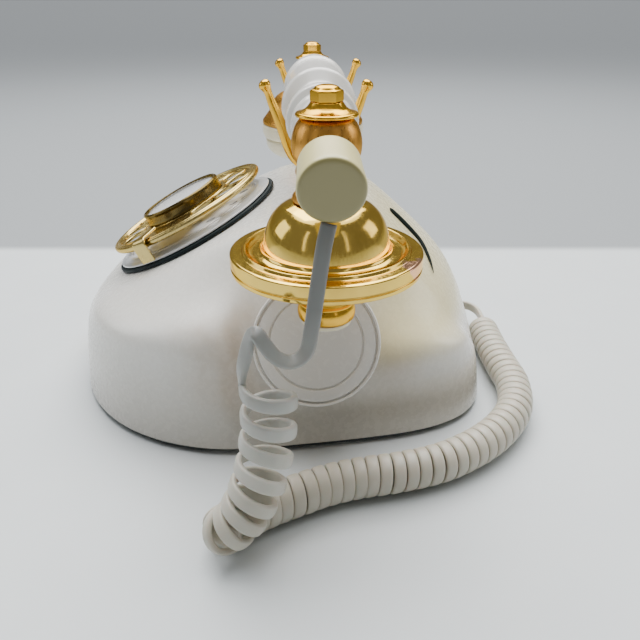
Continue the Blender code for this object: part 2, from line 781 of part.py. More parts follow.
def make_hook_switch(looks):
    yoke_bottom = POST_BOTTOM - GAP - YOKE_THICKNESS
    plate_top = PLATE_BOTTOM + PLATE_THICKNESS + GAP
    pivot_y = CRADLE_Y + SWITCH_ARM
    pivot_z = yoke_bottom - GAP - 0.0017
    pivot = reference_frame("switch_pivot", (0.0150, pivot_y, pivot_z), (0.0, math.pi / 2, 0.0))
    low = (0.0185, pivot_y - 0.009, plate_top)
    bracket = box_mesh("switch_bracket", low, (0.0203, pivot_y + 0.0035, yoke_bottom))
    bracket = add_piece("switch_bracket", bracket, looks["steel"])
    combine(bracket, "switch_pin", disc_mesh("switch_pin", 0.0011, -0.0040, 0.0040, 12), "UNION", pivot)
    base = box_mesh("switch_foot", low, (0.0300, pivot_y + 0.0035, plate_top + 0.0015))
    combine(bracket, "switch_foot", base, "UNION")
    lever_low = (0.0120, CRADLE_Y - 0.002, pivot_z - 0.0017)
    lever = box_mesh("switch_lever", lever_low, (0.0180, pivot_y + 0.003, pivot_z + 0.0017))
    lever = add_piece("switch_lever", lever, looks["steel"])
    bore = disc_mesh("switch_lever_bore", 0.0014, -0.01, 0.01, 12)
    combine(lever, "switch_lever_bore", bore, frame=pivot)
    stack = box_mesh("contact_stack", (0.0206, pivot_y - 0.006, 0.046), (0.0300, pivot_y + 0.006, 0.058))
    add_piece("contact_stack", stack, looks["board"])


# Ringer and electrics


def make_ringer(looks):
    floor = PLATE_BOTTOM + PLATE_THICKNESS + GAP
    ringer_y = 0.056
    gong_x = 0.0210
    pivot_y = 0.0710
    low = (-0.030, ringer_y - 0.009, floor)
    high = (0.030, pivot_y + 0.004, floor + 0.0016)
    frame = add_piece("ringer_frame", box_mesh("ringer_frame", low, high), looks["steel"])
    posts = {
        "gong_post_left": (-gong_x, ringer_y, 0.0022, 0.0385),
        "gong_post_right": (gong_x, ringer_y, 0.0022, 0.0385),
        "clapper_pivot": (0.0, pivot_y, 0.0015, 0.0330),
    }
    for name, (x, y, radius, height) in posts.items():
        combine(frame, name, disc_mesh(name, radius, floor + 0.0005, height, 12, (x, y)), "UNION")
    gong = (
        (0.0025, 0.0370),
        (0.0080, 0.0366),
        (0.0130, 0.0345),
        (0.0160, 0.0310),
        (0.0170, 0.0260),
        (0.0158, 0.0260),
        (0.0148, 0.0304),
        (0.0122, 0.0334),
        (0.0078, 0.0353),
        (0.0025, 0.0357),
    )
    for name, x in (("gong_left", -gong_x), ("gong_right", gong_x)):
        add_piece(name, turned_mesh(name, gong, 14), looks["brass"]).location = (x, ringer_y, 0.0)
    coil_axis = reference_frame("ringer_coil_axis", (0.0, ringer_y, floor + 0.0095), (0.0, math.pi / 2, 0.0))
    coil = (
        (0.0, 0.0150),
        (0.0075, 0.0150),
        (0.0075, 0.0135),
        (0.0062, 0.0135),
        (0.0062, -0.0135),
        (0.0075, -0.0135),
        (0.0075, -0.0150),
        (0.0, -0.0150),
    )
    add_piece("ringer_coil", turned_mesh("ringer_coil", coil, 12), looks["copper"], coil_axis)
    reach = 0.0150
    hub = circle_points(0.0030, 9, start=-math.pi / 2 + 0.5, sweep=2 * math.pi - 1.0)
    head = circle_points(0.0024, 9, (0.0, -reach), math.pi / 2 + 0.5, 2 * math.pi - 1.0)
    pivot = reference_frame("clapper_axis", (0.0, pivot_y, 0.0))
    clapper = add_piece("clapper", prism_mesh("clapper", hub + head, 0.0272, 0.0300), looks["steel"], pivot)
    combine(clapper, "clapper_bore", disc_mesh("clapper_bore", 0.0018, 0.02, 0.04, 16), frame=pivot)


def jack_box(clearance=0.0):
    low = (JACK_X - JACK_WIDTH / 2 - clearance, JACK_FACE_Y - JACK_DEPTH - clearance, JACK_LOW - clearance)
    high = (JACK_X + JACK_WIDTH / 2 + clearance, JACK_FACE_Y, JACK_LOW + JACK_HEIGHT + clearance)
    return low, high


def make_electrics(looks, boot_axis):
    floor = PLATE_BOTTOM + PLATE_THICKNESS + GAP
    board = box_mesh("circuit_board", (-0.034, -0.066, floor), (0.034, -0.012, floor + 0.0016))
    board = add_piece("circuit_board", board, looks["board"])
    parts = {
        "capacitor": ((-0.028, -0.055), (-0.014, -0.035), 0.012),
        "coil_block": ((0.004, -0.050), (0.022, -0.032), 0.014),
    }
    for name, (low, high, height) in parts.items():
        block = box_mesh(name, (*low, floor + 0.0008), (*high, floor + height))
        combine(board, name, block, "UNION")
    jack = add_piece("line_jack", box_mesh("line_jack", *jack_box()), looks["board"])
    middle = JACK_LOW + JACK_HEIGHT / 2
    socket = box_mesh(
        "socket_cut",
        (JACK_X - SOCKET_WIDTH / 2, JACK_FACE_Y - SOCKET_DEPTH, middle - SOCKET_HEIGHT / 2),
        (JACK_X + SOCKET_WIDTH / 2, JACK_FACE_Y + 0.01, middle + SOCKET_HEIGHT / 2),
    )
    combine(jack, "socket_cut", socket)
    shoulder = -SHELL_THICKNESS - 0.0054
    boot = (
        (0.0, 0.0),
        (BOOT_NECK - 0.0008, 0.0),
        (BOOT_NECK, -0.0020),
        (BOOT_NECK, shoulder + 0.0002),
        (BOOT_NECK + 0.0020, shoulder),
        (BOOT_NECK + 0.0020, shoulder - 0.0033),
        (0.0, shoulder - 0.0033),
    )
    add_piece("cord_strain_relief", turned_mesh("cord_strain_relief", boot, 14), looks["cord"], boot_axis)


# Handset: heights are along each ball's axis, from the ball's centre


def make_handset(looks):
    handset = reference_frame("handset_axis", (0.0, CRADLE_Y, HANDSET_Z), (0.0, 0.0, HANDSET_YAW))
    transmitter = reference_frame("transmitter_axis", (BALL_X, 0.0, 0.0), parent=handset)
    receiver = reference_frame("receiver_axis", (-BALL_X, 0.0, 0.0), parent=handset)
    grip_axis = reference_frame("grip_axis", (0.0, 0.0, 0.0), (0.0, math.pi / 2, 0.0), handset)
    end = GRIP_HALF_LENGTH
    half = (
        (0.0, 0.0143),
        (end - 0.0650, 0.0143),
        (end - 0.0630, 0.0152),
        (end - 0.0580, 0.0152),
        (end - 0.0560, 0.0140),
        (end - 0.0530, 0.0104),
        (end - 0.0510, 0.0099),
        (end - 0.0358, 0.0099),
        (end - 0.0318, 0.0106),
        (end - 0.0303, 0.0128),
        (end - 0.0273, 0.0133),
        (end - 0.0243, 0.0128),
        (end - 0.0228, 0.0106),
        (end - 0.0198, 0.0108),
        (end - 0.0168, 0.0114),
        (end - 0.0143, 0.0108),
        (end - 0.0128, 0.0098),
        (end - 0.0088, 0.0092),
        (end - 0.0043, 0.0080),
        (end, 0.0070),
    )
    outer = [(radius, along) for along, radius in reversed(half)]
    outer += [(radius, -along) for along, radius in half[1:]]
    bore = [(GRIP_BORE, -GRIP_HALF_LENGTH), (GRIP_BORE, GRIP_HALF_LENGTH)]
    add_piece("handset_grip", turned_mesh("handset_grip", outer + bore, 14), looks["white"], grip_axis)
    rod = disc_mesh("handset_tie_rod", TIE_ROD_RADIUS, -TIE_ROD_HALF_LENGTH, TIE_ROD_HALF_LENGTH, 12)
    add_piece("handset_tie_rod", rod, looks["steel"], grip_axis)
    make_finials(looks, {"transmitter": transmitter, "receiver": receiver}, grip_axis)
    make_transmitter(looks, transmitter)
    make_receiver(looks, receiver)
    aim = (0.0, math.pi / 2 + CORD_CAP_DROOP, 0.0)
    droop = reference_frame("cord_cap_axis", (0.0, 0.0, 0.0), aim, transmitter)
    cap = (
        (0.0, 0.0350),
        (0.0084, 0.0350),
        (0.0094, 0.0340),
        (0.0094, 0.0180),
        (0.0088, 0.0172),
        (0.0050, 0.0172),
        (0.0050, 0.0114),
        (0.0, 0.0114),
    )
    add_piece("cord_cap", turned_mesh("cord_cap", cap, 16), looks["cream"], droop)


def make_finials(looks, ends, grip_axis):
    """The ball joint, flared cap and acorn nut at each end."""
    ball_top = (
        (0.0, 0.0074),
        (0.0081, 0.0074),
        (0.0100, 0.0046),
        (0.0110, 0.0005),
        (0.0106, -0.0030),
    )
    neck = (
        (0.0087, -0.0066),
        (0.0095, -0.0073),
        (0.0098, -0.0087),
        (0.0094, -0.0102),
        (0.0088, -0.0109),
        (0.0088, -0.0148),
        (0.0102, -0.0156),
        (0.0110, -0.0166),
        (0.0110, -0.0177),
        (0.0, -0.0177),
    )
    profiles = {"transmitter": ball_top + neck, "receiver": ball_top + ((0.0090, -0.0062), (0.0, -0.0062))}
    bore_end = TIE_ROD_HALF_LENGTH + GAP
    cap = (
        (0.0, 0.0116),
        (0.0055, 0.0116),
        (0.0058, 0.0103),
        (0.0072, 0.0093),
        (0.0092, 0.0088),
        (0.0095, 0.0083),
        (0.0093, 0.0077),
        (0.0, 0.0077),
    )
    nut = (
        (0.0, 0.0170),
        (0.0022, 0.0168),
        (0.0042, 0.0159),
        (0.0054, 0.0146),
        (0.0054, 0.0119),
        (0.0, 0.0119),
    )
    for end, axis in ends.items():
        name = f"{end}_ball"
        ball = add_piece(name, turned_mesh(name, profiles[end], 14), looks["copper"], axis)
        bore = disc_mesh(name + "_bore", TIE_ROD_RADIUS + GAP, -bore_end, bore_end, 12)
        combine(ball, name + "_bore", bore, frame=grip_axis)
        for kind, shape, steps in (("finial_cap", cap, 14), ("acorn_nut", nut, 6)):
            name = f"{end}_{kind}"
            add_piece(name, turned_mesh(name, shape, steps), looks["brass"], axis)


def make_transmitter(looks, axis):
    bell = (
        (0.0, -0.0180),
        (0.0110, -0.0182),
        (0.0145, -0.0200),
        (0.0176, -0.0232),
        (0.0198, -0.0275),
        (0.0209, -0.0332),
        (0.0216, -0.0342),
        (0.0240, -0.0344),
        (0.0262, -0.0334),
        (0.0274, -0.0332),
        (0.0280, -0.0343),
        (0.0314, -0.0347),
        (0.0320, -0.0353),
        (0.0320, -0.0405),
        (0.0306, -0.0405),
        (0.0306, -0.0362),
        (0.0205, -0.0358),
        (0.0196, -0.0340),
        (0.0185, -0.0282),
        (0.0160, -0.0240),
        (0.0122, -0.0206),
        (0.0, -0.0196),
    )
    add_piece("transmitter_bell", turned_mesh("transmitter_bell", bell, 20), looks["brass"], axis)
    spigot = (
        (0.0070, -0.0392),
        (0.0302, -0.0392),
        (0.0302, -0.0405),
        (0.0112, -0.0407),
        (0.0110, -0.0425),
        (0.0119, -0.0440),
        (0.0110, -0.0456),
        (0.0098, -0.0470),
        (0.0106, -0.0486),
        (0.0109, -0.0505),
        (0.0098, -0.0523),
        (0.0090, -0.0540),
        (0.0096, -0.0558),
        (0.0100, -0.0575),
        (0.0094, -0.0594),
        (0.0070, -0.0594),
    )
    add_piece("mouthpiece_spigot", turned_mesh("mouthpiece_spigot", spigot, 14), looks["brass"], axis)
    lip = ((0.0070, -0.0597), (0.0088, -0.0597), (0.0086, -0.0614), (0.0070, -0.0614))
    add_piece("mouthpiece_lip", turned_mesh("mouthpiece_lip", lip, 14), looks["cream"], axis)
    capsule = ((0.0, -0.0262), (0.0158, -0.0262), (0.0166, -0.0275), (0.0166, -0.0388), (0.0, -0.0388))
    add_piece("transmitter_capsule", turned_mesh("transmitter_capsule", capsule, 16), looks["steel"], axis)


def make_receiver(looks, axis):
    bell = (
        (0.0, -0.0066),
        (0.0090, -0.0067),
        (0.0104, -0.0086),
        (0.0150, -0.0093),
        (0.0200, -0.0112),
        (0.0229, -0.0140),
        (0.0243, -0.0175),
        (0.0262, -0.0212),
        (0.0288, -0.0242),
        (0.0300, -0.0262),
        (0.0300, -0.0274),
        (0.0286, -0.0274),
        (0.0272, -0.0252),
        (0.0246, -0.0220),
        (0.0226, -0.0180),
        (0.0213, -0.0150),
        (0.0188, -0.0126),
        (0.0145, -0.0108),
        (0.0, -0.0098),
    )
    add_piece("receiver_bell", turned_mesh("receiver_bell", bell, 20), looks["brass"], axis)
    ring = (
        (0.0262, -0.0277),
        (0.0300, -0.0277),
        (0.0303, -0.0310),
        (0.0298, -0.0342),
        (0.0288, -0.0356),
        (0.0262, -0.0356),
    )
    add_piece("receiver_ring", turned_mesh("receiver_ring", ring, 20), looks["cream"], axis)
    ear_cap = (
        (0.0, -0.0359),
        (0.0280, -0.0359),
        (0.0284, -0.0385),
        (0.0268, -0.0428),
        (0.0226, -0.0460),
        (0.0170, -0.0470),
        (0.0080, -0.0452),
        (0.0, -0.0447),
    )
    add_piece("ear_cap", turned_mesh("ear_cap", ear_cap, 20), looks["cream"], axis)
    capsule = ((0.0, -0.0170), (0.0150, -0.0180), (0.0248, -0.0270), (0.0248, -0.0352), (0.0, -0.0352))
    add_piece("receiver_capsule", turned_mesh("receiver_capsule", capsule, 18), looks["steel"], axis)


# Cord


def from_handset(route):
    return [(BALL_X + x, y, share * HANDSET_Z) for x, y, share in route]


def make_cord(looks):
    """The flat tails, and a plain tube of the curly cord's outer diameter, split where it lies straight."""
    tail = smooth_route(from_handset(TAIL_ROUTE), TAIL_SPACING)
    add_tube("cord_tail", tail, TAIL_RADIUS, looks["cord"], 2)
    add_tube("cord_end", smooth_route(END_ROUTE, TAIL_SPACING), TAIL_RADIUS, looks["cord"], 2)
    hanging = smooth_route(from_handset(HANGING_COIL_ROUTE), COIL_SPACING)
    on_table = [(share * HALF_WIDTH, y, COIL_AXIS_Z) for share, y in FLOOR_COIL_ROUTE]
    floor = smooth_route(on_table, COIL_SPACING)
    before, after = floor[FLOOR_COIL_SPLIT : FLOOR_COIL_SPLIT + 2]
    middle = (before + after) / 2
    along = (after - before).normalized()
    side = floor[: FLOOR_COIL_SPLIT + 1] + [middle - along * GAP / 2]
    rear = [middle + along * GAP / 2] + floor[FLOOR_COIL_SPLIT + 1 :]
    for name, route in (("cord_coil_hanging", hanging), ("cord_coil_side", side), ("cord_coil_rear", rear)):
        add_tube(name, route, COIL_RADIUS, looks["cord"], 3)


def main():
    for old in list(bpy.data.objects):
        bpy.data.objects.remove(old, do_unlink=True)
    looks = make_finishes()
    dial_axis = reference_frame("dial_axis", (0.0, DIAL_Y, DIAL_Z), (DIAL_TILT, 0.0, 0.0))
    rosette_axes = {
        "rosette_right": rosette_frame("rosette_right_axis", 1),
        "rosette_left": rosette_frame("rosette_left_axis", -1),
    }
    boot_axis = reference_frame("boot_axis", (BOOT_X, BOOT_Y, BOOT_Z), (-math.pi / 2, 0.0, 0.0))
    make_shell(looks, dial_axis, rosette_axes, boot_axis)
    make_base(looks)
    make_rosettes(looks, rosette_axes)
    make_badge(looks)
    make_dial_housing(looks, dial_axis)
    make_finger_stop(looks, dial_axis)
    make_finger_wheel(looks, dial_axis)
    make_governor(looks, dial_axis)
    make_cradle(looks)
    make_hook_switch(looks)
    make_ringer(looks)
    make_electrics(looks, boot_axis)
    make_handset(looks)
    make_cord(looks)


main()
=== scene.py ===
"""The looks of the cradle telephone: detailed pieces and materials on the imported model's frame."""

import json
import math

import bmesh
import bpy
from mathutils import Matrix, Vector


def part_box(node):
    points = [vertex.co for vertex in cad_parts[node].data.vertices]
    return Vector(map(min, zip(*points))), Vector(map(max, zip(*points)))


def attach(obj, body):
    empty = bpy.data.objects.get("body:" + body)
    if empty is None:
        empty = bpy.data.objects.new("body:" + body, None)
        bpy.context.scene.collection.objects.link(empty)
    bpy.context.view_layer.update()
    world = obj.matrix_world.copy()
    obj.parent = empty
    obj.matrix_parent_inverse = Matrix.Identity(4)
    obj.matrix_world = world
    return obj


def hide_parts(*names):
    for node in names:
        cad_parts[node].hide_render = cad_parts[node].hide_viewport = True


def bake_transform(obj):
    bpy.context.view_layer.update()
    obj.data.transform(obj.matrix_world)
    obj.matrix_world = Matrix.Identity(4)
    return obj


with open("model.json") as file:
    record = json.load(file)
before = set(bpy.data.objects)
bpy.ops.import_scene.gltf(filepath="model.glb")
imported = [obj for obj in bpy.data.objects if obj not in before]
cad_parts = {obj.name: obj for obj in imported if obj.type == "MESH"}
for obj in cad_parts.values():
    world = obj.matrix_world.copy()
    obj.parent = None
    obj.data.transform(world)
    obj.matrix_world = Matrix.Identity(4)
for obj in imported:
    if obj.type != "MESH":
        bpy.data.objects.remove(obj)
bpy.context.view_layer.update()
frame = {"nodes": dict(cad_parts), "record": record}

# Camera and lights
CAMERA_PLACE = (0.300, 0.022, 0.165)
CAMERA_PITCH = math.radians(26.8)
CAMERA_SHIFT = -0.00625
LIGHT_TARGET = (0.0, 0.0, 0.05)

# Body shell, as in the CAD model
HALF_WIDTH = 0.096
FRONT_REACH = 0.090
REAR_REACH = 0.102
WIDEST_Y = -0.006
FRONT_POWER = 2.25
REAR_POWER = 5.0
REAR_TAPER = 0.17
WALL_DRAFT = 0.0875
SHELL_THICKNESS = 0.0028
SHELL_BOTTOM = 0.0030
RIDGE_HEIGHT = 0.0885
SHOULDER_HEIGHTS = ((-0.096, 0.0455), (-0.020, 0.0530), (0.060, 0.0450), (0.100, 0.0430))
HUMP_HALF_WIDTHS = (
    (-0.060, HALF_WIDTH - 0.050),
    (0.019, HALF_WIDTH - 0.039),
    (0.090, HALF_WIDTH - 0.048),
)
SHOULDER_FALL = 1.7
SHOULDER_ROUND = 0.008
CREST_ROUND = 0.005
REAR_UPPER = (0.0456, 0.0860, -0.88)
REAR_LOWER = (0.0786, 0.0610, -1.70)
REAR_BOW = 4.4
STEEPNESS_SCALE = 0.75
SKIN_STEPS = 320
WALL_STEPS = 8
WALL_TOP = 0.034
DOME_STEPS = 108
SKIN_CENTRE_Y = 0.005
CRADLE_Y = 0.019
SCOOP_X = HALF_WIDTH - 0.005
SCOOP_Z = 0.023
SCOOP_LEAN = math.radians(22.9)
SCOOP_HALF_LENGTH = 0.024
SCOOP_FLARE = 0.016
SCOOP_ROUND = 0.006
ROSETTE_RADIUS = 0.025
ROSETTE_Z = 0.045
ROSETTE_SEAT = -0.0022
POST_HOLE = 0.0046
BOOT_HOLE = 0.0038
GAP = 0.0003
# The crease behind the ridge, on the cord's side: place across and along, and half its width
CREASE = (
    (0.0143, 0.0522, 0.0002),
    (0.0152, 0.0540, 0.0012),
    (0.0172, 0.0600, 0.0014),
    (0.0205, 0.0662, 0.0011),
    (0.0300, 0.0694, 0.0007),
    (0.0390, 0.0703, 0.0002),
)
CREASE_SHADOW = 0.75

# Dial: heights are along its axis, from the plane of the pad
WHEEL_RADIUS = 0.0394
FINGER_HOLES = 10
FINGER_HOLE_CIRCLE = 0.711 * WHEEL_RADIUS
FINGER_HOLE_RADIUS = 0.2286 * FINGER_HOLE_CIRCLE
FINGER_HOLE_STEP = math.radians(30)
FIRST_HOLE_ANGLE = math.radians(30)
CASE_RADIUS = WHEEL_RADIUS - 0.0024
STOP_ANGLE = math.radians(-22)

# Colours: metals' tints at glancing angles, and the gasket
GOLD_EDGE = (1.0, 0.82, 0.50)
WHITE = (1.0, 1.0, 1.0)
RUBBER = (0.003, 0.010, 0.012)

# Worn spots on the bell: place from the ball's centre, the distances between which wear fades, and
# colour. A noise of up to WEAR_NOISE either way is added first, so distances below 0 leave specks.
WORN_PATCHES = (
    ((0.0170, 0.0275, -0.0345), 0.0035, 0.0042, (0.86, 0.50, 0.34)),
    ((0.0110, 0.0295, -0.0345), 0.0010, 0.0016, (0.78, 0.50, 0.36)),
    ((0.0265, 0.0180, -0.0378), -0.0016, -0.0008, (0.20, 0.09, 0.04)),
    ((0.0300, 0.0110, -0.0378), -0.0024, -0.0018, (0.24, 0.12, 0.05)),
)

WEAR_NOISE = 0.008

# Cord cap: its end is measured along its axis from the ball's centre
CAP_DROOP = math.radians(10)
CAP_END = 0.0350

# Cord
CORD_WIDTH = 0.0046
CORD_THICKNESS = 0.0022
TURN_POINTS = 28
TAIL_STEP = 0.0012
# From the cord cap to the first turn: place, and the way that its flat side faces
TAIL_ROUTE = (
    ((0.1315, 0.0234, 0.1095), (1.0, 0.0, 0.2)),
    ((0.1332, 0.0222, 0.1045), (1.0, 0.0, 0.25)),
    ((0.1345, 0.0212, 0.0985), (1.0, 0.0, 0.2)),
    ((0.1358, 0.0197, 0.0884), (1.0, 0.0, 0.1)),
    ((0.1368, 0.0184, 0.0795), (1.0, 0.0, 0.1)),
    ((0.1376, 0.0168, 0.0725), (0.9, -0.3, 0.3)),
    ((0.1390, 0.0128, 0.0700), (0.6, -0.1, 0.8)),
    ((0.1405, 0.0084, 0.0722), (0.7, 0.4, 0.7)),
    ((0.1412, 0.0052, 0.0768), (0.8, 0.5, 0.3)),
    ((0.1406, 0.0030, 0.0802), (0.5, 0.0, 0.9)),
    ((0.1390, 0.0010, 0.0784), (0.5, -0.8, 0.3)),
    ((0.1382, -0.0008, 0.0720), (0.8, -0.6, 0.1)),
    ((0.1378, -0.0024, 0.0655), (0.5, -0.85, 0.0)),
)
# The line that the turns go round, from the first one down to the table and round to the rear
COIL_ROUTE = (
    (0.1378, 0.0053, 0.0606),
    (0.1385, 0.0053, 0.0545),
    (0.1398, 0.0048, 0.0452),
    (0.1420, 0.0034, 0.0366),
    (0.1442, 0.0012, 0.0286),
    (0.1460, -0.0020, 0.0213),
    (0.1470, -0.0055, 0.0160),
    (0.1464, -0.0092, 0.0118),
    (0.1430, -0.0106, 0.0092),
    (0.1388, -0.0078, 0.0081),
    (0.1345, -0.0022, 0.0079),
    (0.1300, 0.0050, 0.0079),
    (0.1262, 0.0125, 0.0079),
    (0.1212, 0.0225, 0.0079),
    (0.1172, 0.0345, 0.0079),
    (0.1135, 0.0510, 0.0079),
    (0.1070, 0.0690, 0.0079),
    (0.0930, 0.0885, 0.0079),
    (0.0745, 0.1025, 0.0079),
    (0.0545, 0.1075, 0.0079),
    (0.0370, 0.1068, 0.0079),
    (0.0170, 0.1060, 0.0079),
    (0.0002, 0.1060, 0.0079),
)
# Distance along that line, and the room that each turn takes there
TURN_PITCHES = (
    (0.0, 0.0096),
    (0.020, 0.0090),
    (0.036, 0.0074),
    (0.046, 0.0056),
    (0.056, 0.0050),
    (0.075, 0.0049),
)
# Distance along that line, and the turns' radius there
TURN_RADII = ((0.0, 0.0078), (0.030, 0.0078), (0.062, 0.0066), (0.085, 0.0064))
END_ROUTE = (
    ((-0.0065, 0.1068, 0.0087), (0.0, 1.0, 0.0)),
    ((-0.0130, 0.1075, 0.0089), (0.0, 1.0, 0.0)),
    ((-0.0190, 0.1068, 0.0094), (-0.3, 1.0, 0.0)),
    ((-0.0228, 0.1045, 0.0100), (-0.7, 0.7, 0.0)),
    ((-0.0248, 0.1010, 0.0104), (-1.0, 0.1, 0.0)),
    ((-0.0250, 0.0983, 0.0105), (-1.0, 0.0, 0.0)),
)


# Frames of the moving parts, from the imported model


def joint(name):
    return next(j for j in frame["record"]["behaviour"]["joints"] if j["name"] == name)


def middle(node):
    low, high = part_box(node)
    return (Vector(low) + Vector(high)) / 2


def axis_frame(place, up, across=(1.0, 0.0, 0.0)):
    """A matrix whose Z is up and whose X is as near across as it can be."""
    z = Vector(up).normalized()
    y = z.cross(Vector(across)).normalized()
    x = y.cross(z)
    return Matrix.Translation(place) @ Matrix((x, y, z)).transposed().to_4x4()


def handset_frames():
    """The handset's middle and its two ends; X runs along the grip."""
    ends = [middle("receiver_acorn_nut"), middle("transmitter_acorn_nut")]
    height = middle("handset_tie_rod").z
    receiver, transmitter = (Vector((end.x, end.y, height)) for end in ends)
    along = (transmitter - receiver).normalized()
    centre = (receiver + transmitter) / 2
    return [axis_frame(place, (0.0, 0.0, 1.0), along) for place in (centre, receiver, transmitter)]


DIAL = axis_frame(joint("dial_turn")["pos_m"], [-part for part in joint("dial_turn")["axis"]])
DIAL_SLOPE = -DIAL.col[2].y / DIAL.col[2].z
HANDSET, RECEIVER, TRANSMITTER = handset_frames()
GRIP = HANDSET @ Matrix.Rotation(math.pi / 2, 4, "Y")
CAP = TRANSMITTER @ Matrix.Rotation(math.pi / 2 + CAP_DROOP, 4, "Y")


# Materials


class Nodes:
    """A material's shader nodes, made and linked by short calls."""

    def __init__(self, name):
        self.material = bpy.data.materials.new(name)
        self.material.use_nodes = True
        self.tree = self.material.node_tree
        self.shader = self.tree.nodes["Principled BSDF"]
        self.place = self.add("ShaderNodeTexCoord").outputs["Object"]

    def add(self, kind, **settings):
        node = self.tree.nodes.new(kind)
        for key, value in settings.items():
            setattr(node, key, value)
        return node

    def put(self, socket, value):
        if isinstance(value, bpy.types.NodeSocket):
            self.tree.links.new(value, socket)
        else:
            socket.default_value = value

    def set(self, **values):
        """Sets or links the shader's inputs, with _ for a space in their names."""
        for key, value in values.items():
            self.put(self.shader.inputs[key.replace("_", " ")], value)

    def noise(self, scale, detail=4.0, stretch=(1.0, 1.0, 1.0)):
        mapping = self.add("ShaderNodeMapping")
        self.put(mapping.inputs["Vector"], self.place)
        mapping.inputs["Scale"].default_value = stretch
        noise = self.add("ShaderNodeTexNoise")
        self.put(noise.inputs["Vector"], mapping.outputs["Vector"])
        noise.inputs["Scale"].default_value = scale
        noise.inputs["Detail"].default_value = detail
        return noise.outputs["Fac"]

    def math(self, operation, *values):
        node = self.add("ShaderNodeMath", operation=operation)
        for socket, value in zip(node.inputs, values):
            self.put(socket, value)
        return node.outputs[0]

    def range(self, value, low, high, to_low=0.0, to_high=1.0, soft=False):
        node = self.add("ShaderNodeMapRange")
        node.interpolation_type = "SMOOTHSTEP" if soft else "LINEAR"
        for socket, part in zip(node.inputs, (value, low, high, to_low, to_high)):
            self.put(socket, part)
        return node.outputs[0]

    def mix(self, share, first, second):
        node = self.add("ShaderNodeMix", data_type="RGBA")
        self.put(node.inputs["Factor"], share)
        for name, colour in (("A", first), ("B", second)):
            socket = next(s for s in node.inputs if s.name == name and s.type == "RGBA")
            self.put(socket, (*colour, 1.0) if isinstance(colour, tuple) else colour)
        return next(s for s in node.outputs if s.type == "RGBA")

    def axis(self, name):
        node = self.add("ShaderNodeSeparateXYZ")
        self.put(node.inputs[0], self.place)
        return node.outputs[name]

    def measure(self, operation, vector):
        """The place's distance from a point, or how far it lies along a direction."""
        node = self.add("ShaderNodeVectorMath", operation=operation)
        self.put(node.inputs[0], self.place)
        node.inputs[1].default_value = vector
        return node.outputs["Value"]

    def near(self, point, inner, outer):
        """1 within inner of a point, falling to 0 at outer."""
        return self.range(self.measure("DISTANCE", point), inner, outer, 1.0, 0.0, soft=True)

    def colour(self):
        """What gives the base colour so far."""
        return self.shader.inputs["Base Color"].links[0].from_socket

    def bump(self, height, strength, distance):
        node = self.add("ShaderNodeBump")
        node.inputs["Strength"].default_value = strength
        node.inputs["Distance"].default_value = distance
        self.put(node.inputs["Height"], height)
        self.set(Normal=node.outputs[0])


def plastic(name, colour, tint, roughness=0.28, coat=0.25, grain=0.00005, ior=1.5):
    """Moulded plastic: slightly uneven colour and gloss, with a faint ripple."""
    nodes = Nodes(name)
    uneven = nodes.range(nodes.noise(28.0), 0.35, 0.7)
    nodes.set(Base_Color=nodes.mix(uneven, colour, tint))
    dust = nodes.noise(420.0, 3.0)
    nodes.set(Roughness=nodes.range(dust, 0.3, 0.75, roughness - 0.02, roughness + 0.03))
    nodes.set(Coat_Weight=coat, Coat_Roughness=0.18, IOR=ior)
    nodes.bump(nodes.noise(60.0, 2.0), 0.05, grain)
    return nodes


def ivory_shell():
    """The shell's ivory: painted shade on the lower walls, beige beside the medallions, yellowed along
    the rear shoulder.
    """
    nodes = plastic("ivory_shell", (0.82, 0.81, 0.77), (0.76, 0.75, 0.70), 0.27, 0.35)
    colour = nodes.colour()
    flat_y = nodes.axis("Y")
    flat_z = nodes.axis("Z")
    # Painted shade: the walls grow darker and greyer towards the bottom.
    low = nodes.range(flat_z, 0.006, 0.050, 0.75, 0.0, soft=True)
    colour = nodes.mix(low, colour, (0.45, 0.415, 0.355))
    blotches = nodes.range(nodes.noise(34.0, 3.0), 0.30, 0.60)
    # Blotchy brown patches just in front of and just behind each medallion.
    for side in (1, -1):
        brown_patch = nodes.near((side * 0.088, CRADLE_Y - 0.031, 0.044), 0.004, 0.032)
        brown_patch = nodes.math("MULTIPLY", brown_patch, blotches)
        colour = nodes.mix(nodes.math("MULTIPLY", brown_patch, 0.85), colour, (0.42, 0.29, 0.17))
        brown_patch = nodes.near((side * 0.086, CRADLE_Y + 0.029, 0.046), 0.004, 0.028)
        colour = nodes.mix(nodes.math("MULTIPLY", brown_patch, 0.85), colour, (0.42, 0.33, 0.21))
    rear = nodes.range(flat_y, 0.022, 0.055, soft=True)
    high = nodes.range(flat_z, 0.030, 0.044, soft=True)
    aged = nodes.math("MULTIPLY", nodes.math("MULTIPLY", rear, high), 0.90)
    colour = nodes.mix(aged, colour, (0.80, 0.72, 0.42))
    nodes.set(Base_Color=colour)
    return nodes


def metal(name, colour, tarnish, roughness=0.12, cloud=70.0, share=0.6, scratch=0.0, edge=GOLD_EDGE):
    """Polished metal with cloudy tarnish and fine rubbing marks."""
    nodes = Nodes(name)
    clouds = nodes.range(nodes.noise(cloud, 6.0), 0.42, 0.72, 0.0, share)
    nodes.set(Base_Color=nodes.mix(clouds, colour, tarnish), Metallic=1.0)
    nodes.set(Specular_Tint=(*edge, 1.0))
    rub = nodes.noise(900.0, 3.0, (1.0, 1.0, 0.12))
    rough = nodes.range(rub, 0.3, 0.8, roughness - 0.04, roughness + 0.10 + scratch)
    nodes.set(Roughness=nodes.math("ADD", rough, nodes.math("MULTIPLY", clouds, 0.10)))
    nodes.bump(nodes.noise(210.0, 3.0), 0.06 + scratch, 0.0001)
    return nodes


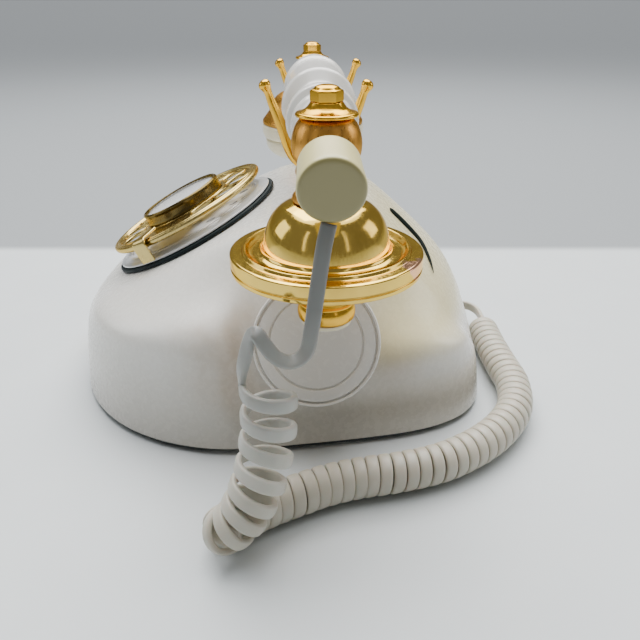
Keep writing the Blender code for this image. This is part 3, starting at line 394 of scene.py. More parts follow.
def bell_gold():
    """Gold lacquer, worn through to pink metal on one side of the flange, brown specks on its rim."""
    nodes = metal("bell_gold", (0.78, 0.54, 0.115), (0.50, 0.31, 0.06), 0.10, 55.0, 0.6)
    colour = nodes.colour()
    edge = nodes.range(nodes.noise(95.0, 5.0), 0.0, 1.0, -WEAR_NOISE, WEAR_NOISE)
    for place, inner, outer, tint in WORN_PATCHES:
        far = nodes.math("ADD", nodes.measure("DISTANCE", TRANSMITTER @ Vector(place)), edge)
        colour = nodes.mix(nodes.range(far, inner, outer, 1.0, 0.0), colour, tint)
    nodes.set(Base_Color=colour)
    return nodes


def clear_window():
    nodes = Nodes("clear_window")
    nodes.set(Base_Color=(0.90, 0.92, 0.93, 1.0), Alpha=0.22, IOR=1.6, Coat_Weight=1.0)
    nodes.set(Roughness=nodes.range(nodes.noise(300.0), 0.3, 0.8, 0.02, 0.07))
    return nodes


def cord_vinyl():
    """Soft off-white vinyl, greyer and dustier low down where it lies on the table, with painted shade
    darkening it high up.
    """
    nodes = Nodes("cord_vinyl")
    uneven = nodes.range(nodes.noise(90.0), 0.35, 0.7)
    colour = nodes.mix(uneven, (0.60, 0.60, 0.55), (0.51, 0.505, 0.45))
    low = nodes.range(nodes.axis("Z"), 0.010, 0.055, 0.75, 0.0, soft=True)
    colour = nodes.mix(low, colour, (0.52, 0.475, 0.375))
    # Painted shade: the tail and the hanging turns are darker grey high up.
    high = nodes.range(nodes.axis("Z"), 0.036, 0.086, 0.0, 1.0)
    colour = nodes.mix(high, colour, (0.20, 0.205, 0.195))
    nodes.set(Base_Color=colour, Subsurface_Weight=0.12, Subsurface_Scale=0.002, IOR=1.48)
    nodes.set(Roughness=nodes.range(nodes.noise(500.0), 0.3, 0.75, 0.30, 0.46))
    nodes.bump(nodes.noise(600.0, 3.0), 0.08, 0.0001)
    return nodes


def cap_plastic():
    """The cord cap's aged plastic, its end face darkened towards olive by painted shade."""
    nodes = plastic("cap_plastic", (0.82, 0.745, 0.36), (0.75, 0.675, 0.31), 0.34, 0.15)
    colour = nodes.colour()
    axis = CAP.col[2].to_3d()
    end = axis.dot(CAP.translation) + CAP_END
    # Painted shade: the end face is darkened towards olive.
    face = nodes.range(nodes.measure("DOT_PRODUCT", axis), end - 0.0012, end - 0.0004, soft=True)
    olive = nodes.math("MULTIPLY", face, 0.88)
    nodes.set(Base_Color=nodes.mix(olive, colour, (0.185, 0.160, 0.060)))
    return nodes


def make_materials():
    made = {
        "shell": ivory_shell(),
        "white": plastic("white_trim", (0.84, 0.83, 0.80), (0.79, 0.78, 0.74), 0.26),
        "grip": plastic("white_grip", (0.86, 0.85, 0.81), (0.81, 0.79, 0.74), 0.22, 0.4),
        "ivory": plastic("ivory_trim", (0.82, 0.76, 0.55), (0.76, 0.69, 0.47), 0.30),
        "cap": cap_plastic(),
        "gold": metal("gold", (0.78, 0.44, 0.045), (0.52, 0.28, 0.04), 0.16),
        "bell": bell_gold(),
        "copper": metal("copper_gold", (0.62, 0.31, 0.065), (0.42, 0.20, 0.05), 0.24, 130.0, 0.8, 0.12),
        "pale_gold": metal("pale_gold", (0.58, 0.45, 0.17), (0.40, 0.30, 0.11), 0.20, 60.0, 0.5),
        "dark_gold": metal("dark_gold", (0.13, 0.095, 0.035), (0.05, 0.040, 0.020), 0.22, 60.0, 0.8),
        "steel": metal("zinc_steel", (0.58, 0.58, 0.57), (0.44, 0.44, 0.43), 0.32, 90.0, edge=WHITE),
        "winding": metal("copper_winding", (0.60, 0.25, 0.12), (0.40, 0.16, 0.08), 0.35, 200.0),
        "rubber": plastic("dark_rubber", RUBBER, (0.006, 0.014, 0.016), 0.60, 0.0, ior=1.3),
        "plate": plastic("base_paint", (0.010, 0.018, 0.022), (0.030, 0.036, 0.040), 0.45, 0.0),
        "plate_card": plastic("dial_plate", (0.74, 0.75, 0.75), (0.68, 0.69, 0.70), 0.16, 0.8),
        "card": plastic("printed_card", (0.80, 0.80, 0.79), (0.75, 0.76, 0.75), 0.35, 0.3),
        "ink": plastic("dial_ink", (0.05, 0.05, 0.05), (0.09, 0.09, 0.09), 0.5, 0.0),
        "board": plastic("laminate", (0.26, 0.19, 0.09), (0.20, 0.14, 0.06), 0.5, 0.0),
        "window": clear_window(),
        "cord": cord_vinyl(),
    }
    return {look: nodes.material for look, nodes in made.items()}


# Shapes


def finish_mesh(name, shape):
    bmesh.ops.recalc_face_normals(shape, faces=shape.faces)
    mesh = bpy.data.meshes.new(name)
    shape.to_mesh(mesh)
    shape.free()
    return mesh


def link_object(name, data):
    thing = bpy.data.objects.new(name, data)
    bpy.context.scene.collection.objects.link(thing)
    return thing


def add_piece(name, mesh, material, body, *nodes, sharp=40):
    """Puts a mesh in the scene on a body, in place of the CAD nodes named."""
    piece = link_object(name, mesh)
    mesh.materials.append(material)
    mesh.shade_smooth()
    mesh.set_sharp_from_angle(angle=math.radians(sharp))
    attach(piece, body)
    if nodes:
        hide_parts(*nodes)
    return piece


def dress(node, mesh, material, body, sharp=40):
    """Puts a detailed mesh in place of the CAD node that it is named after."""
    piece = add_piece(node + "_visual", mesh, material, body, node, sharp=sharp)
    return piece


def dress_turned(node, profile, matrix, steps, material, body):
    """The same for a lathe shape."""
    return dress(node, turned_mesh(node + "_visual", profile, matrix, steps), material, body)


def bridge(shape, first, second):
    """Joins two rings of vertices with faces; a ring of one vertex is a pole."""
    for step in range(max(len(first), len(second))):
        corners = [
            first[step % len(first)],
            second[step % len(second)],
            second[(step + 1) % len(second)],
            first[(step + 1) % len(first)],
        ]
        shape.faces.new(list(dict.fromkeys(corners)))


def rounded(profile, steps=5):
    """A profile with each corner rounded by its third number, or up to the middles of its sides."""
    points = [Vector(point[:2]) for point in profile]
    smooth = [points[0]]
    for before, corner, after, given in zip(points, points[1:], points[2:], profile[1:]):
        reach = given[2] if len(given) > 2 else 1.0
        back = before - corner
        ahead = after - corner
        start = corner + back * min(0.5, reach / back.length)
        end = corner + ahead * min(0.5, reach / ahead.length)
        for step in range(steps + 1):
            t = step / steps
            smooth.append(start * (1 - t) ** 2 + corner * 2 * t * (1 - t) + end * t**2)
    smooth.append(points[-1])
    kept = smooth[:1]
    for point in smooth[1:]:
        if (point - kept[-1]).length > 1e-6:
            kept.append(point)
    return kept


def turned_mesh(name, profile, matrix=Matrix(), steps=96, wave=None):
    """A lathe shape from (radius, height) points, rounded. wave makes a radius depend on the turn."""
    shape = bmesh.new()
    rings = []
    for radius, height in rounded(profile):
        count = steps if radius > 1e-6 else 1
        ring = []
        for step in range(count):
            turn = 2 * math.pi * step / steps
            reach = wave(radius, height, turn) if wave else radius
            ring.append(shape.verts.new((reach * math.cos(turn), reach * math.sin(turn), height)))
        rings.append(ring)
    for upper, lower in zip(rings, rings[1:]):
        bridge(shape, upper, lower)
    if profile[0][0] > 0:
        bridge(shape, rings[-1], rings[0])
    mesh = finish_mesh(name, shape)
    mesh.transform(matrix)
    return mesh


def swept_mesh(name, rings):
    """A closed tube through rings of points, with a face on each end."""
    shape = bmesh.new()
    made = [[shape.verts.new(point) for point in ring] for ring in rings]
    for first, second in zip(made, made[1:]):
        bridge(shape, first, second)
    shape.faces.new(made[0])
    shape.faces.new(made[-1])
    return finish_mesh(name, shape)


def combined(name, mesh, helpers, operation="DIFFERENCE"):
    """The mesh with helper meshes cut out of it, or joined on."""
    piece = link_object(name, mesh)
    made = []
    for index, helper in enumerate(helpers):
        cutter = link_object(f"{name}_helper_{index}", helper)
        modifier = piece.modifiers.new(cutter.name, "BOOLEAN")
        modifier.object = cutter
        modifier.operation = operation
        modifier.solver = "MANIFOLD"
        made.append(cutter)
    graph = bpy.context.evaluated_depsgraph_get()
    result = bpy.data.meshes.new_from_object(piece.evaluated_get(graph), depsgraph=graph)
    for helper in made + [piece]:
        bpy.data.objects.remove(helper, do_unlink=True)
    result.materials.clear()
    return result


def disc_mesh(name, radius, low, high, matrix=Matrix(), steps=96):
    """A plain cylinder, for cutting and joining."""
    profile = ((0.0, low), (radius, low, 0.0), (radius, high, 0.0), (0.0, high))
    return turned_mesh(name, profile, matrix, steps)


def box_mesh(name, low, high):
    shape = bmesh.new()
    bmesh.ops.create_cube(shape, size=1.0)
    for corner in shape.verts:
        corner.co = [high[axis] if corner.co[axis] > 0 else low[axis] for axis in range(3)]
    return finish_mesh(name, shape)


def curve_through(points, spacing):
    """Evenly spaced points on a Catmull-Rom curve. A point may hold a direction after its place."""
    knots = [Vector(point) for point in points]
    knots = [2 * knots[0] - knots[1]] + knots + [2 * knots[-1] - knots[-2]]
    fine = []
    for before, start, end, after in zip(knots, knots[1:], knots[2:], knots[3:]):
        for step in range(16):
            t = step / 16
            first = (end - before) * t
            second = (2 * before - 5 * start + 4 * end - after) * t**2
            third = (3 * start - before - 3 * end + after) * t**3
            fine.append((2 * start + first + second + third) / 2)
    fine.append(knots[-2])
    lengths = [0.0]
    for start, end in zip(fine, fine[1:]):
        lengths.append(lengths[-1] + math.dist(start[:3], end[:3]))
    count = max(2, round(lengths[-1] / spacing) + 1)
    route = []
    index = 0
    for step in range(count):
        wanted = lengths[-1] * step / (count - 1)
        while index < len(fine) - 2 and lengths[index + 1] < wanted:
            index += 1
        share = (wanted - lengths[index]) / (lengths[index + 1] - lengths[index])
        route.append(fine[index] + (fine[index + 1] - fine[index]) * min(1.0, share))
    return route


def between(table, value):
    """A value from a table of (place, value) pairs, easing from one to the next."""
    if value <= table[0][0]:
        return table[0][1]
    for (low, first), (high, second) in zip(table, table[1:]):
        if value <= high:
            share = (value - low) / (high - low)
            return first + (second - first) * share * share * (3 - 2 * share)
    return table[-1][1]


# Cord


def coil_points():
    """(place, facing) round every turn of the curly cord, facing away from the coil's middle."""
    line = curve_through(COIL_ROUTE, 0.0002)
    points = []
    away = Vector((0.0, -1.0, 0.0))
    turn = 0.0
    travelled = 0.0
    due = 0.0
    for here, ahead in zip(line, line[1:]):
        step = ahead - here
        along = step.normalized()
        away = (away - along * away.dot(along)).normalized()
        if turn >= due:
            side = away.cross(along)
            facing = away * math.cos(turn) + side * math.sin(turn)
            points.append((here + facing * between(TURN_RADII, travelled), facing))
            due += 2 * math.pi / TURN_POINTS
        travelled += step.length
        turn += 2 * math.pi * step.length / between(TURN_PITCHES, travelled)
    return points


def route_with_facings(route):
    flat = curve_through([(*place, *facing) for place, facing in route], TAIL_STEP)
    return [(Vector(point[:3]), Vector(point[3:])) for point in flat]


def cord_points():
    """The whole cord's centreline with its facings, from the cord cap to the rear of the body."""
    coil = coil_points()
    start = route_with_facings((*TAIL_ROUTE, coil[0]))
    end = route_with_facings((coil[-1], *END_ROUTE))
    return start[:-1] + coil + end[1:]


def squared(share, power):
    """A sine or cosine pushed out towards a square's side."""
    return math.copysign(abs(share) ** power, share)


def ribbon_section(sides=20):
    """A flat cord's section with well rounded edges: (across, through) from its middle."""
    section = []
    for step in range(sides):
        turn = 2 * math.pi * step / sides
        across = squared(math.cos(turn), 0.50) * CORD_WIDTH / 2
        through = squared(math.sin(turn), 0.75) * CORD_THICKNESS / 2
        section.append((across, through))
    return section


def make_cord(looks):
    points = cord_points()
    places = [place for place, facing in points]
    rings = []
    for index, (place, facing) in enumerate(points):
        along = (places[min(index + 1, len(places) - 1)] - places[max(index - 1, 0)]).normalized()
        facing = (facing - along * facing.dot(along)).normalized()
        across = along.cross(facing)
        rings.append([place + across * u + facing * v for u, v in ribbon_section()])
    mesh = swept_mesh("curly_cord", rings)
    cord = link_object("curly_cord", mesh)
    mesh.materials.append(looks["cord"])
    mesh.shade_smooth()
    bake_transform(cord)
    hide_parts("cord_tail", "cord_end", "cord_coil_hanging", "cord_coil_side", "cord_coil_rear")


# Body shell


def soft_max(a, b, width):
    return (a + b + math.hypot(a - b, width)) / 2


def soft_min(a, b, width):
    return (a + b - math.hypot(a - b, width)) / 2


def plan_value(x, y):
    """How far out a point is from the footprint's middle, as a share of the way to its outline."""
    along = y - WIDEST_Y
    power, reach, half = FRONT_POWER, FRONT_REACH, HALF_WIDTH
    if along > 0:
        power, reach, half = REAR_POWER, REAR_REACH, HALF_WIDTH - REAR_TAPER * along
    return ((abs(x) / half) ** power + (abs(along) / reach) ** power) ** (1 / power)


def top_height(x, y):
    """The top: dial pad, ridge and rear slope, falling to a shoulder round the outside."""
    pad = DIAL.translation.z + (y - DIAL.translation.y) * DIAL_SLOPE
    bowed = y + REAR_BOW * x * x
    rear = [height + slope * (bowed - place) for place, height, slope in (REAR_UPPER, REAR_LOWER)]
    front = soft_min(pad, RIDGE_HEIGHT, CREST_ROUND)
    crest = soft_min(front, soft_min(*rear, CREST_ROUND), CREST_ROUND)
    shoulder = between(SHOULDER_HEIGHTS, y)
    past_hump = soft_max(abs(x) - between(HUMP_HALF_WIDTHS, y), 0.0, CREST_ROUND)
    to_wall = max(0.0005, (1 - plan_value(x, y)) * HALF_WIDTH)
    fall = (to_wall / (past_hump + to_wall)) ** SHOULDER_FALL
    return shoulder + (crest - shoulder) * fall


def scoop_value(x, y, z):
    lean = (abs(x) - SCOOP_X) * math.cos(SCOOP_LEAN) + (z - SCOOP_Z) * math.sin(SCOOP_LEAN)
    aside = max(0.0, abs(y - CRADLE_Y) - SCOOP_HALF_LENGTH)
    return lean - aside * aside / SCOOP_FLARE


def outside(x, y, z):
    """Above 0 outside the body's outer surface, below 0 inside, in metres."""
    wall = (plan_value(x, y) - 1) * HALF_WIDTH + WALL_DRAFT * z
    top = (z - top_height(x, y)) * STEEPNESS_SCALE
    return soft_max(soft_max(wall, top, SHOULDER_ROUND), scoop_value(x, y, z), SCOOP_ROUND)


def skin_point(start, direction, inset=0.0):
    """Where a ray from inside the body meets its outer surface, or a surface the inset below it."""
    near, far = 0.0, 0.16
    for _ in range(22):
        half = (near + far) / 2
        if outside(*(start + direction * half)) < -inset:
            near = half
        else:
            far = half
    return start + direction * near


def skin_rings(inset, dome_steps):
    """Rings of points up the wall and over the top, ending in one point."""
    turns = [2 * math.pi * step / SKIN_STEPS for step in range(SKIN_STEPS)]
    level = [Vector((math.cos(turn), math.sin(turn), 0.0)) for turn in turns]
    rings = []
    for step in range(WALL_STEPS + 1):
        height = SHELL_BOTTOM + (WALL_TOP - SHELL_BOTTOM) * step / WALL_STEPS
        start = Vector((0.0, SKIN_CENTRE_Y, height))
        rings.append([skin_point(start, way, inset) for way in level])
    for step in range(1, dome_steps):
        lift = math.pi / 2 * step / dome_steps
        ways = [way * math.cos(lift) + Vector((0.0, 0.0, math.sin(lift))) for way in level]
        rings.append([skin_point(start, way, inset) for way in ways])
    rings.append([skin_point(start, Vector((0.0, 0.0, 1.0)), inset)])
    return rings


def skin_mesh():
    shape = bmesh.new()
    skins = []
    for inset, dome_steps in ((0.0, DOME_STEPS), (SHELL_THICKNESS, DOME_STEPS // 3)):
        points = skin_rings(inset, dome_steps)
        rings = [[shape.verts.new(point) for point in ring] for ring in points]
        for lower, upper in zip(rings, rings[1:]):
            bridge(shape, lower, upper)
        skins.append(rings[0])
    bridge(shape, *skins)
    return finish_mesh("body_shell_skin", shape)


def crease_mesh(share=1.0):
    """The tapered hollow of the crease, or a narrower one sunk at its bottom."""
    route = curve_through(CREASE, 0.0010)
    rings = []
    for index, (x, y, radius) in enumerate(route):
        ahead = route[min(index + 1, len(route) - 1)] - route[max(index - 1, 0)]
        across = Vector((ahead.y, -ahead.x, 0.0)).normalized()
        sunk = (1 - share) * 2 * radius
        place = Vector((x, y, top_height(x, y) - sunk))
        ring = []
        for step in range(8):
            way = 2 * math.pi * step / 8
            lift = Vector((0.0, 0.0, 2 * radius * math.sin(way)))
            ring.append(place + (across * math.cos(way) * radius + lift) * share)
        rings.append(ring)
    return swept_mesh("crease", rings)


def rosette_matrix(side):
    x = side * (SCOOP_X - (ROSETTE_Z - SCOOP_Z) * math.tan(SCOOP_LEAN))
    turn = Matrix.Rotation(side * (math.pi / 2 - SCOOP_LEAN), 4, "Y")
    return Matrix.Translation((x, CRADLE_Y, ROSETTE_Z)) @ turn


def make_shell(looks):
    seat = disc_mesh("dial_seat", cad_radius("dial_gasket") + 2 * GAP, -0.0010, 0.02, DIAL)
    well = disc_mesh("dial_well", CASE_RADIUS + 2 * GAP, -0.02, 0.02, DIAL)
    helpers = [seat, well, crease_mesh()]
    for side in (1, -1):
        axis = rosette_matrix(side)
        helpers.append(disc_mesh("rosette_pocket", ROSETTE_RADIUS + GAP, ROSETTE_SEAT, 0.02, axis))
    for name in ("cradle_fork_left", "cradle_fork_right"):
        post = middle(name)
        place = Matrix.Translation((post.x, post.y, 0.0))
        helpers.append(disc_mesh("post_hole", POST_HOLE, 0.07, 0.10, place, 32))
    boot = middle("cord_strain_relief")
    sideways = Matrix.Translation((boot.x, boot.y, boot.z)) @ Matrix.Rotation(-math.pi / 2, 4, "X")
    helpers.append(disc_mesh("boot_hole", BOOT_HOLE, -0.012, 0.012, sideways, 32))
    low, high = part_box("line_jack")
    low = (low[0] - GAP, low[1] - GAP, 0.0)
    high = (high[0] + GAP, high[1] + GAP + 0.01, high[2] + GAP)
    helpers.append(box_mesh("jack_hole", low, high))
    shell = combined("body_shell_visual", skin_mesh(), helpers)
    dress("body_shell", shell, looks["shell"], "base")
    # A narrower dark tube sunk at the bottom of the crease: painted shade.
    add_piece("crease_shadow", crease_mesh(CREASE_SHADOW), looks["rubber"], "base")


def cad_radius(node):
    low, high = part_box(node)
    return (high[0] - low[0]) / 2


# Trim on the body


def make_rosettes(looks):
    outer = ROSETTE_RADIUS
    profile = (
        (0.0, 0.0016), (0.0060, 0.0016), (0.0125, 0.0020), (outer - 0.0078, 0.0022),
        (outer - 0.0073, 0.0022, 0.0002), (outer - 0.0071, 0.0014, 0.0002),
        (outer - 0.0066, 0.0014, 0.0002), (outer - 0.0063, 0.0025, 0.0003),
        (outer - 0.0040, 0.0027), (outer - 0.0021, 0.0025, 0.0003),
        (outer - 0.0018, 0.0013, 0.0002), (outer - 0.0013, 0.0013, 0.0002),
        (outer - 0.0011, 0.0028, 0.0003), (outer - 0.0004, 0.0031, 0.0004),
        (outer, 0.0022, 0.0004), (outer, ROSETTE_SEAT + GAP, 0.0), (0.0, ROSETTE_SEAT + GAP),
    )
    for name, side in (("rosette_right", 1), ("rosette_left", -1)):
        dress_turned(name, profile, rosette_matrix(side), 128, looks["white"], "base")


def make_badge(looks):
    """A plain domed oval with a beaded rim."""
    low, high = (Vector(corner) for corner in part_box("front_badge"))
    face = axis_frame((low + high) / 2, (0.0, -1.0, WALL_DRAFT), (1.0, 0.0, 0.0))
    tall = (high.z - low.z) / (high.x - low.x)
    radius = (high.x - low.x) / 2
    profile = (
        (0.0, 0.0010), (radius * 0.55, 0.0008), (radius * 0.78, 0.0001, 0.0004),
        (radius * 0.86, 0.0003, 0.0003), (radius * 0.94, 0.0010), (radius, 0.0004),
        (radius, -0.0006, 0.0001), (0.0, -0.0006),
    )
    stretch = Matrix.Diagonal((1.0, tall, 1.0, 1.0))
    dress_turned("front_badge", profile, face @ stretch, 96, looks["gold"], "base")


# Dial


def make_dial_plate(looks):
    gasket_outer = cad_radius("dial_gasket")
    inner = WHEEL_RADIUS
    gasket = (
        (inner, -0.0007, 0.0), (gasket_outer, -0.0007, 0.0), (gasket_outer, 0.0002, 0.0003),
        (gasket_outer - 0.0005, 0.0006, 0.0003), (gasket_outer - 0.0013, 0.0006, 0.0003),
        (inner, 0.0006, 0.0002),
    )
    dress_turned("dial_gasket", gasket, DIAL, 160, looks["rubber"], "base")
    edge = inner - GAP
    plate = (
        (0.0033, 0.0006, 0.0), (edge, 0.0006, 0.0), (edge, 0.0010, 0.0),
        (gasket_outer - 0.0015, 0.0011, 0.0001), (gasket_outer - 0.0016, 0.0017, 0.0003),
        (edge - 0.0010, 0.0021, 0.0003), (edge - 0.0030, 0.0031, 0.0004),
        (edge - 0.0046, 0.0030, 0.0002), (edge - 0.0050, 0.0026, 0.0002),
        (edge - 0.0062, 0.0026, 0.0002), (edge - 0.0066, 0.0030, 0.0002), (0.0033, 0.0030, 0.0),
    )
    dress_turned("number_plate", plate, DIAL, 160, looks["plate_card"], "base")


def finger_hole(index):
    """The middle of a finger hole, on the plane of the pad."""
    angle = FIRST_HOLE_ANGLE + index * FINGER_HOLE_STEP
    return Vector((math.cos(angle), math.sin(angle), 0.0)) * FINGER_HOLE_CIRCLE


def make_digits(looks):
    """The plain numbers 1 to 0 under the finger holes, printed on the plate."""
    shape = bmesh.new()
    for hole in range(FINGER_HOLES):
        text = bpy.data.curves.new("digit", "FONT")
        text.body = str((FINGER_HOLES - hole) % 10 if hole else 0)
        text.size = 0.0066
        text.align_x = "CENTER"
        text.align_y = "CENTER"
        text.extrude = 0.00004
        holder = link_object("digit", text)
        graph = bpy.context.evaluated_depsgraph_get()
        mesh = bpy.data.meshes.new_from_object(holder.evaluated_get(graph), depsgraph=graph)
        mesh.transform(DIAL @ Matrix.Translation(finger_hole(hole) + Vector((0.0, 0.0, 0.00308))))
        shape.from_mesh(mesh)
        bpy.data.objects.remove(holder, do_unlink=True)
    mesh = bpy.data.meshes.new("dial_numbers")
    shape.to_mesh(mesh)
    shape.free()
    add_piece("dial_numbers", mesh, looks["ink"], "base")


def make_finger_wheel(looks):
    """A dished wheel with a thick rolled rim, ridges and a rolled edge round each finger hole."""
    rim = WHEEL_RADIUS
    web = 0.0092
    profile = (
        (0.0, web + 0.0006), (0.0195, web + 0.0006), (0.0208, web + 0.0009, 0.0003),
        (0.0214, web + 0.0005, 0.0003), (rim - 0.0050, web + 0.0002),
        (rim - 0.0041, web + 0.0003, 0.0003), (rim - 0.0036, web + 0.0012, 0.0004),
        (rim - 0.0028, web + 0.0014), (rim - 0.0022, web + 0.0009, 0.0003),
        (rim - 0.0014, web + 0.0012), (rim - 0.0003, web + 0.0008), (rim, web - 0.0004),
        (rim - 0.0006, web - 0.0017), (rim - 0.0022, web - 0.0018),
        (rim - 0.0036, web - 0.0012), (rim - 0.0046, web - 0.0006), (0.0, web - 0.0006),
    )
    helpers = []
    for hole in range(FINGER_HOLES):
        centre = DIAL @ Matrix.Translation(finger_hole(hole))
        helpers.append(disc_mesh("finger_hole", FINGER_HOLE_RADIUS, 0.0, 0.02, centre, 48))
    disc = turned_mesh("finger_wheel_visual", profile, DIAL, 192)
    wheel = combined("finger_wheel_visual", disc, helpers)
    dress("finger_wheel", wheel, looks["pale_gold"], "dial_wheel", sharp=30)
    roll = (
        (FINGER_HOLE_RADIUS - 0.0002, web - 0.0008),
        (FINGER_HOLE_RADIUS + 0.0004, web - 0.0007),
        (FINGER_HOLE_RADIUS + 0.0006, web + 0.0003),
        (FINGER_HOLE_RADIUS + 0.0003, web + 0.0008),
        (FINGER_HOLE_RADIUS - 0.0004, web + 0.0007), (FINGER_HOLE_RADIUS - 0.0006, web),
    )
    shape = bmesh.new()
    for hole in range(FINGER_HOLES):
        centre = DIAL @ Matrix.Translation(finger_hole(hole))
        mesh = turned_mesh("hole_edge", roll + roll[:1], centre, 48)
        shape.from_mesh(mesh)
    mesh = finish_mesh("finger_hole_edges", shape)
    edges = add_piece("finger_hole_edges", mesh, looks["pale_gold"], "dial_wheel")


def make_hub(looks):
    """The dark gold cup in the middle, its thin rim, the card and the domed window."""
    radius = cad_radius("hub_cap")
    low = cad_height("hub_cap", 0)
    top = cad_height("hub_cap", 1)
    card = radius - 0.0015
    hub = (
        (0.0, top - 0.0022), (card, top - 0.0022, 0.0), (card, top + 0.0001, 0.0002),
        (radius - 0.0008, top + 0.0003, 0.0002), (radius, top - 0.0005, 0.0004),
        (radius - 0.0004, top - 0.0016, 0.0004), (radius - 0.0003, low + 0.0016),
        (radius, low + 0.0006, 0.0004), (radius - 0.0004, low, 0.0003), (0.0, low),
    )
    dress_turned("hub_cap", hub, DIAL, 128, looks["dark_gold"], "dial_wheel")
    floor = top - 0.0019
    disc = (
        (0.0, floor + 0.0005),
        (card - GAP, floor + 0.0005, 0.0001),
        (card - GAP, floor, 0.0),
        (0.0, floor),
    )
    dress_turned("number_card", disc, DIAL, 96, looks["card"], "dial_wheel")
    glass = (
        (0.0, floor + 0.0030), (card * 0.55, floor + 0.0027), (card * 0.88, floor + 0.0018),
        (card - GAP, floor + 0.0010, 0.0003), (card - GAP, floor + 0.0008, 0.0),
        (0.0, floor + 0.0008),
    )
    dress_turned("card_window", glass, DIAL, 96, looks["window"], "dial_wheel")


def cad_height(node, end):
    """A turned dial piece's lowest (0) or highest (1) height along the dial's axis."""
    mesh = frame["nodes"][node].data
    inverse = DIAL.inverted()
    heights = [(inverse @ vertex.co).z for vertex in mesh.vertices]
    return max(heights) if end else min(heights)


def make_finger_stop(looks):
    """A bent strip from the plate, up past the rim and in over the finger holes."""
    rim = WHEEL_RADIUS + 0.0009
    over = 0.0112
    inner = FINGER_HOLE_CIRCLE + 0.0010
    outer = rim + 0.0008
    top = over + 0.0006
    path = rounded(((outer, 0.0018), (outer, top, 0.0030), (inner, top)), 8)
    rings = []
    for index, point in enumerate(path):
        ahead = path[min(index + 1, len(path) - 1)] - path[max(index - 1, 0)]
        normal = Vector((-ahead.y, ahead.x)).normalized()
        share = index / (len(path) - 1)
        half = 0.0038 - 0.0010 * share**3
        ring = []
        for step in range(20):
            turn = 2 * math.pi * step / 20
            across = squared(math.cos(turn), 0.3) * half
            through = normal * squared(math.sin(turn), 0.6) * 0.0006
            ring.append(Vector((point.x + through.x, across, point.y + through.y)))
        rings.append(ring)
    mesh = swept_mesh("finger_stop_visual", rings)
    mesh.transform(DIAL @ Matrix.Rotation(STOP_ANGLE, 4, "Z"))
    dress("finger_stop", mesh, looks["pale_gold"], "base")


# Cradle


def make_fork(looks, name):
    """A bent rod with ball tips on a turned post."""
    low, high = (Vector(corner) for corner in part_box(name))
    x = (low.x + high.x) / 2
    bottom = HANDSET.translation.z - 0.0204
    half = (
        (0.0203, 0.0324, 0.0001), (0.0202, 0.0322, 0.0013), (0.0199, 0.0317, 0.0020),
        (0.0195, 0.0310, 0.00232), (0.0192, 0.0303, 0.0023), (0.0187, 0.0293, 0.0018),
        (0.0180, 0.0276, 0.0015), (0.0167, 0.0239, 0.0017), (0.0142, 0.0179, 0.0021),
        (0.0125, 0.0129, 0.00215), (0.0107, 0.0074, 0.00215), (0.0084, 0.0034, 0.00215),
        (0.0048, 0.0009, 0.00215), (0.0, 0.0, 0.00215),
    )
    points = list(half) + [(-y, z, radius) for y, z, radius in reversed(half[:-1])]
    path = curve_through(points, 0.0007)
    rings = []
    for index, point in enumerate(path):
        ahead = path[min(index + 1, len(path) - 1)] - path[max(index - 1, 0)]
        across = Vector((0.0, ahead.y, -ahead.x)).normalized()
        centre = Vector((x, CRADLE_Y + point.x, bottom + point.y))
        ring = []
        for step in range(20):
            turn = 2 * math.pi * step / 20
            radius = max(point.z, 0.0001)
            way = Vector((math.cos(turn), 0.0, 0.0)) + across * math.sin(turn)
            ring.append(centre + way * radius)
        rings.append(ring)
    seat = RIDGE_HEIGHT + 0.0010
    rise = bottom - seat
    post = (
        (0.0, low.z), (0.0040, low.z, 0.0), (0.0040, seat, 0.0), (0.0068, seat, 0.0002),
        (0.0069, seat + 0.04 * rise, 0.0003), (0.0063, seat + 0.12 * rise),
        (0.0040, seat + 0.20 * rise), (0.0032, seat + 0.33 * rise),
        (0.0036, seat + 0.42 * rise, 0.0002), (0.0047, seat + 0.50 * rise),
        (0.0047, seat + 0.56 * rise), (0.0036, seat + 0.64 * rise, 0.0002),
        (0.0030, seat + 0.76 * rise), (0.0031, seat + 0.88 * rise),
        (0.0040, seat + 0.96 * rise), (0.0034, seat + 1.06 * rise), (0.0, seat + 1.09 * rise),
    )
    place = Matrix.Translation((x, CRADLE_Y, 0.0))
    mesh = combined(name, swept_mesh(name, rings), [turned_mesh("post", post, place, 64)], "UNION")
    dress(name, mesh, looks["gold"], "cradle")


# Handset: heights are along each end's axis, from the ball's centre


def make_grip(looks):
    end = (Vector(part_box("handset_grip")[1]) - Vector(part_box("handset_grip")[0])).x / 2
    end = end / HANDSET.col[0].x - 0.0003
    half = (
        (0.0143, 0.0), (0.0143, end - 0.0653, 0.0006), (0.0147, end - 0.0642, 0.0003),
        (0.0153, end - 0.0628, 0.0008), (0.0153, end - 0.0586, 0.0008),
        (0.0147, end - 0.0570, 0.0006), (0.0136, end - 0.0560, 0.0006),
        (0.0106, end - 0.0533, 0.0010), (0.0099, end - 0.0500), (0.0099, end - 0.0360),
        (0.0101, end - 0.0330), (0.0107, end - 0.0322, 0.0003), (0.0108, end - 0.0315, 0.0002),
        (0.0128, end - 0.0306, 0.0005), (0.0134, end - 0.0273), (0.0128, end - 0.0240, 0.0006),
        (0.0106, end - 0.0230, 0.0003), (0.0105, end - 0.0218, 0.0003),
        (0.0108, end - 0.0206, 0.0003), (0.0114, end - 0.0180), (0.0114, end - 0.0160),
        (0.0108, end - 0.0141, 0.0004), (0.0098, end - 0.0128, 0.0004), (0.0095, end - 0.0100),
        (0.0090, end - 0.0075), (0.0080, end - 0.0043), (0.0072, end - 0.0006, 0.0004),
        (0.0062, end, 0.0002),
    )
    profile = list(reversed(half)) + [(radius, -along, *more) for radius, along, *more in half[1:]]
    profile += [(0.0046, -end, 0.0), (0.0046, end, 0.0)]
    dress_turned("handset_grip", profile, GRIP, 96, looks["grip"], "handset")


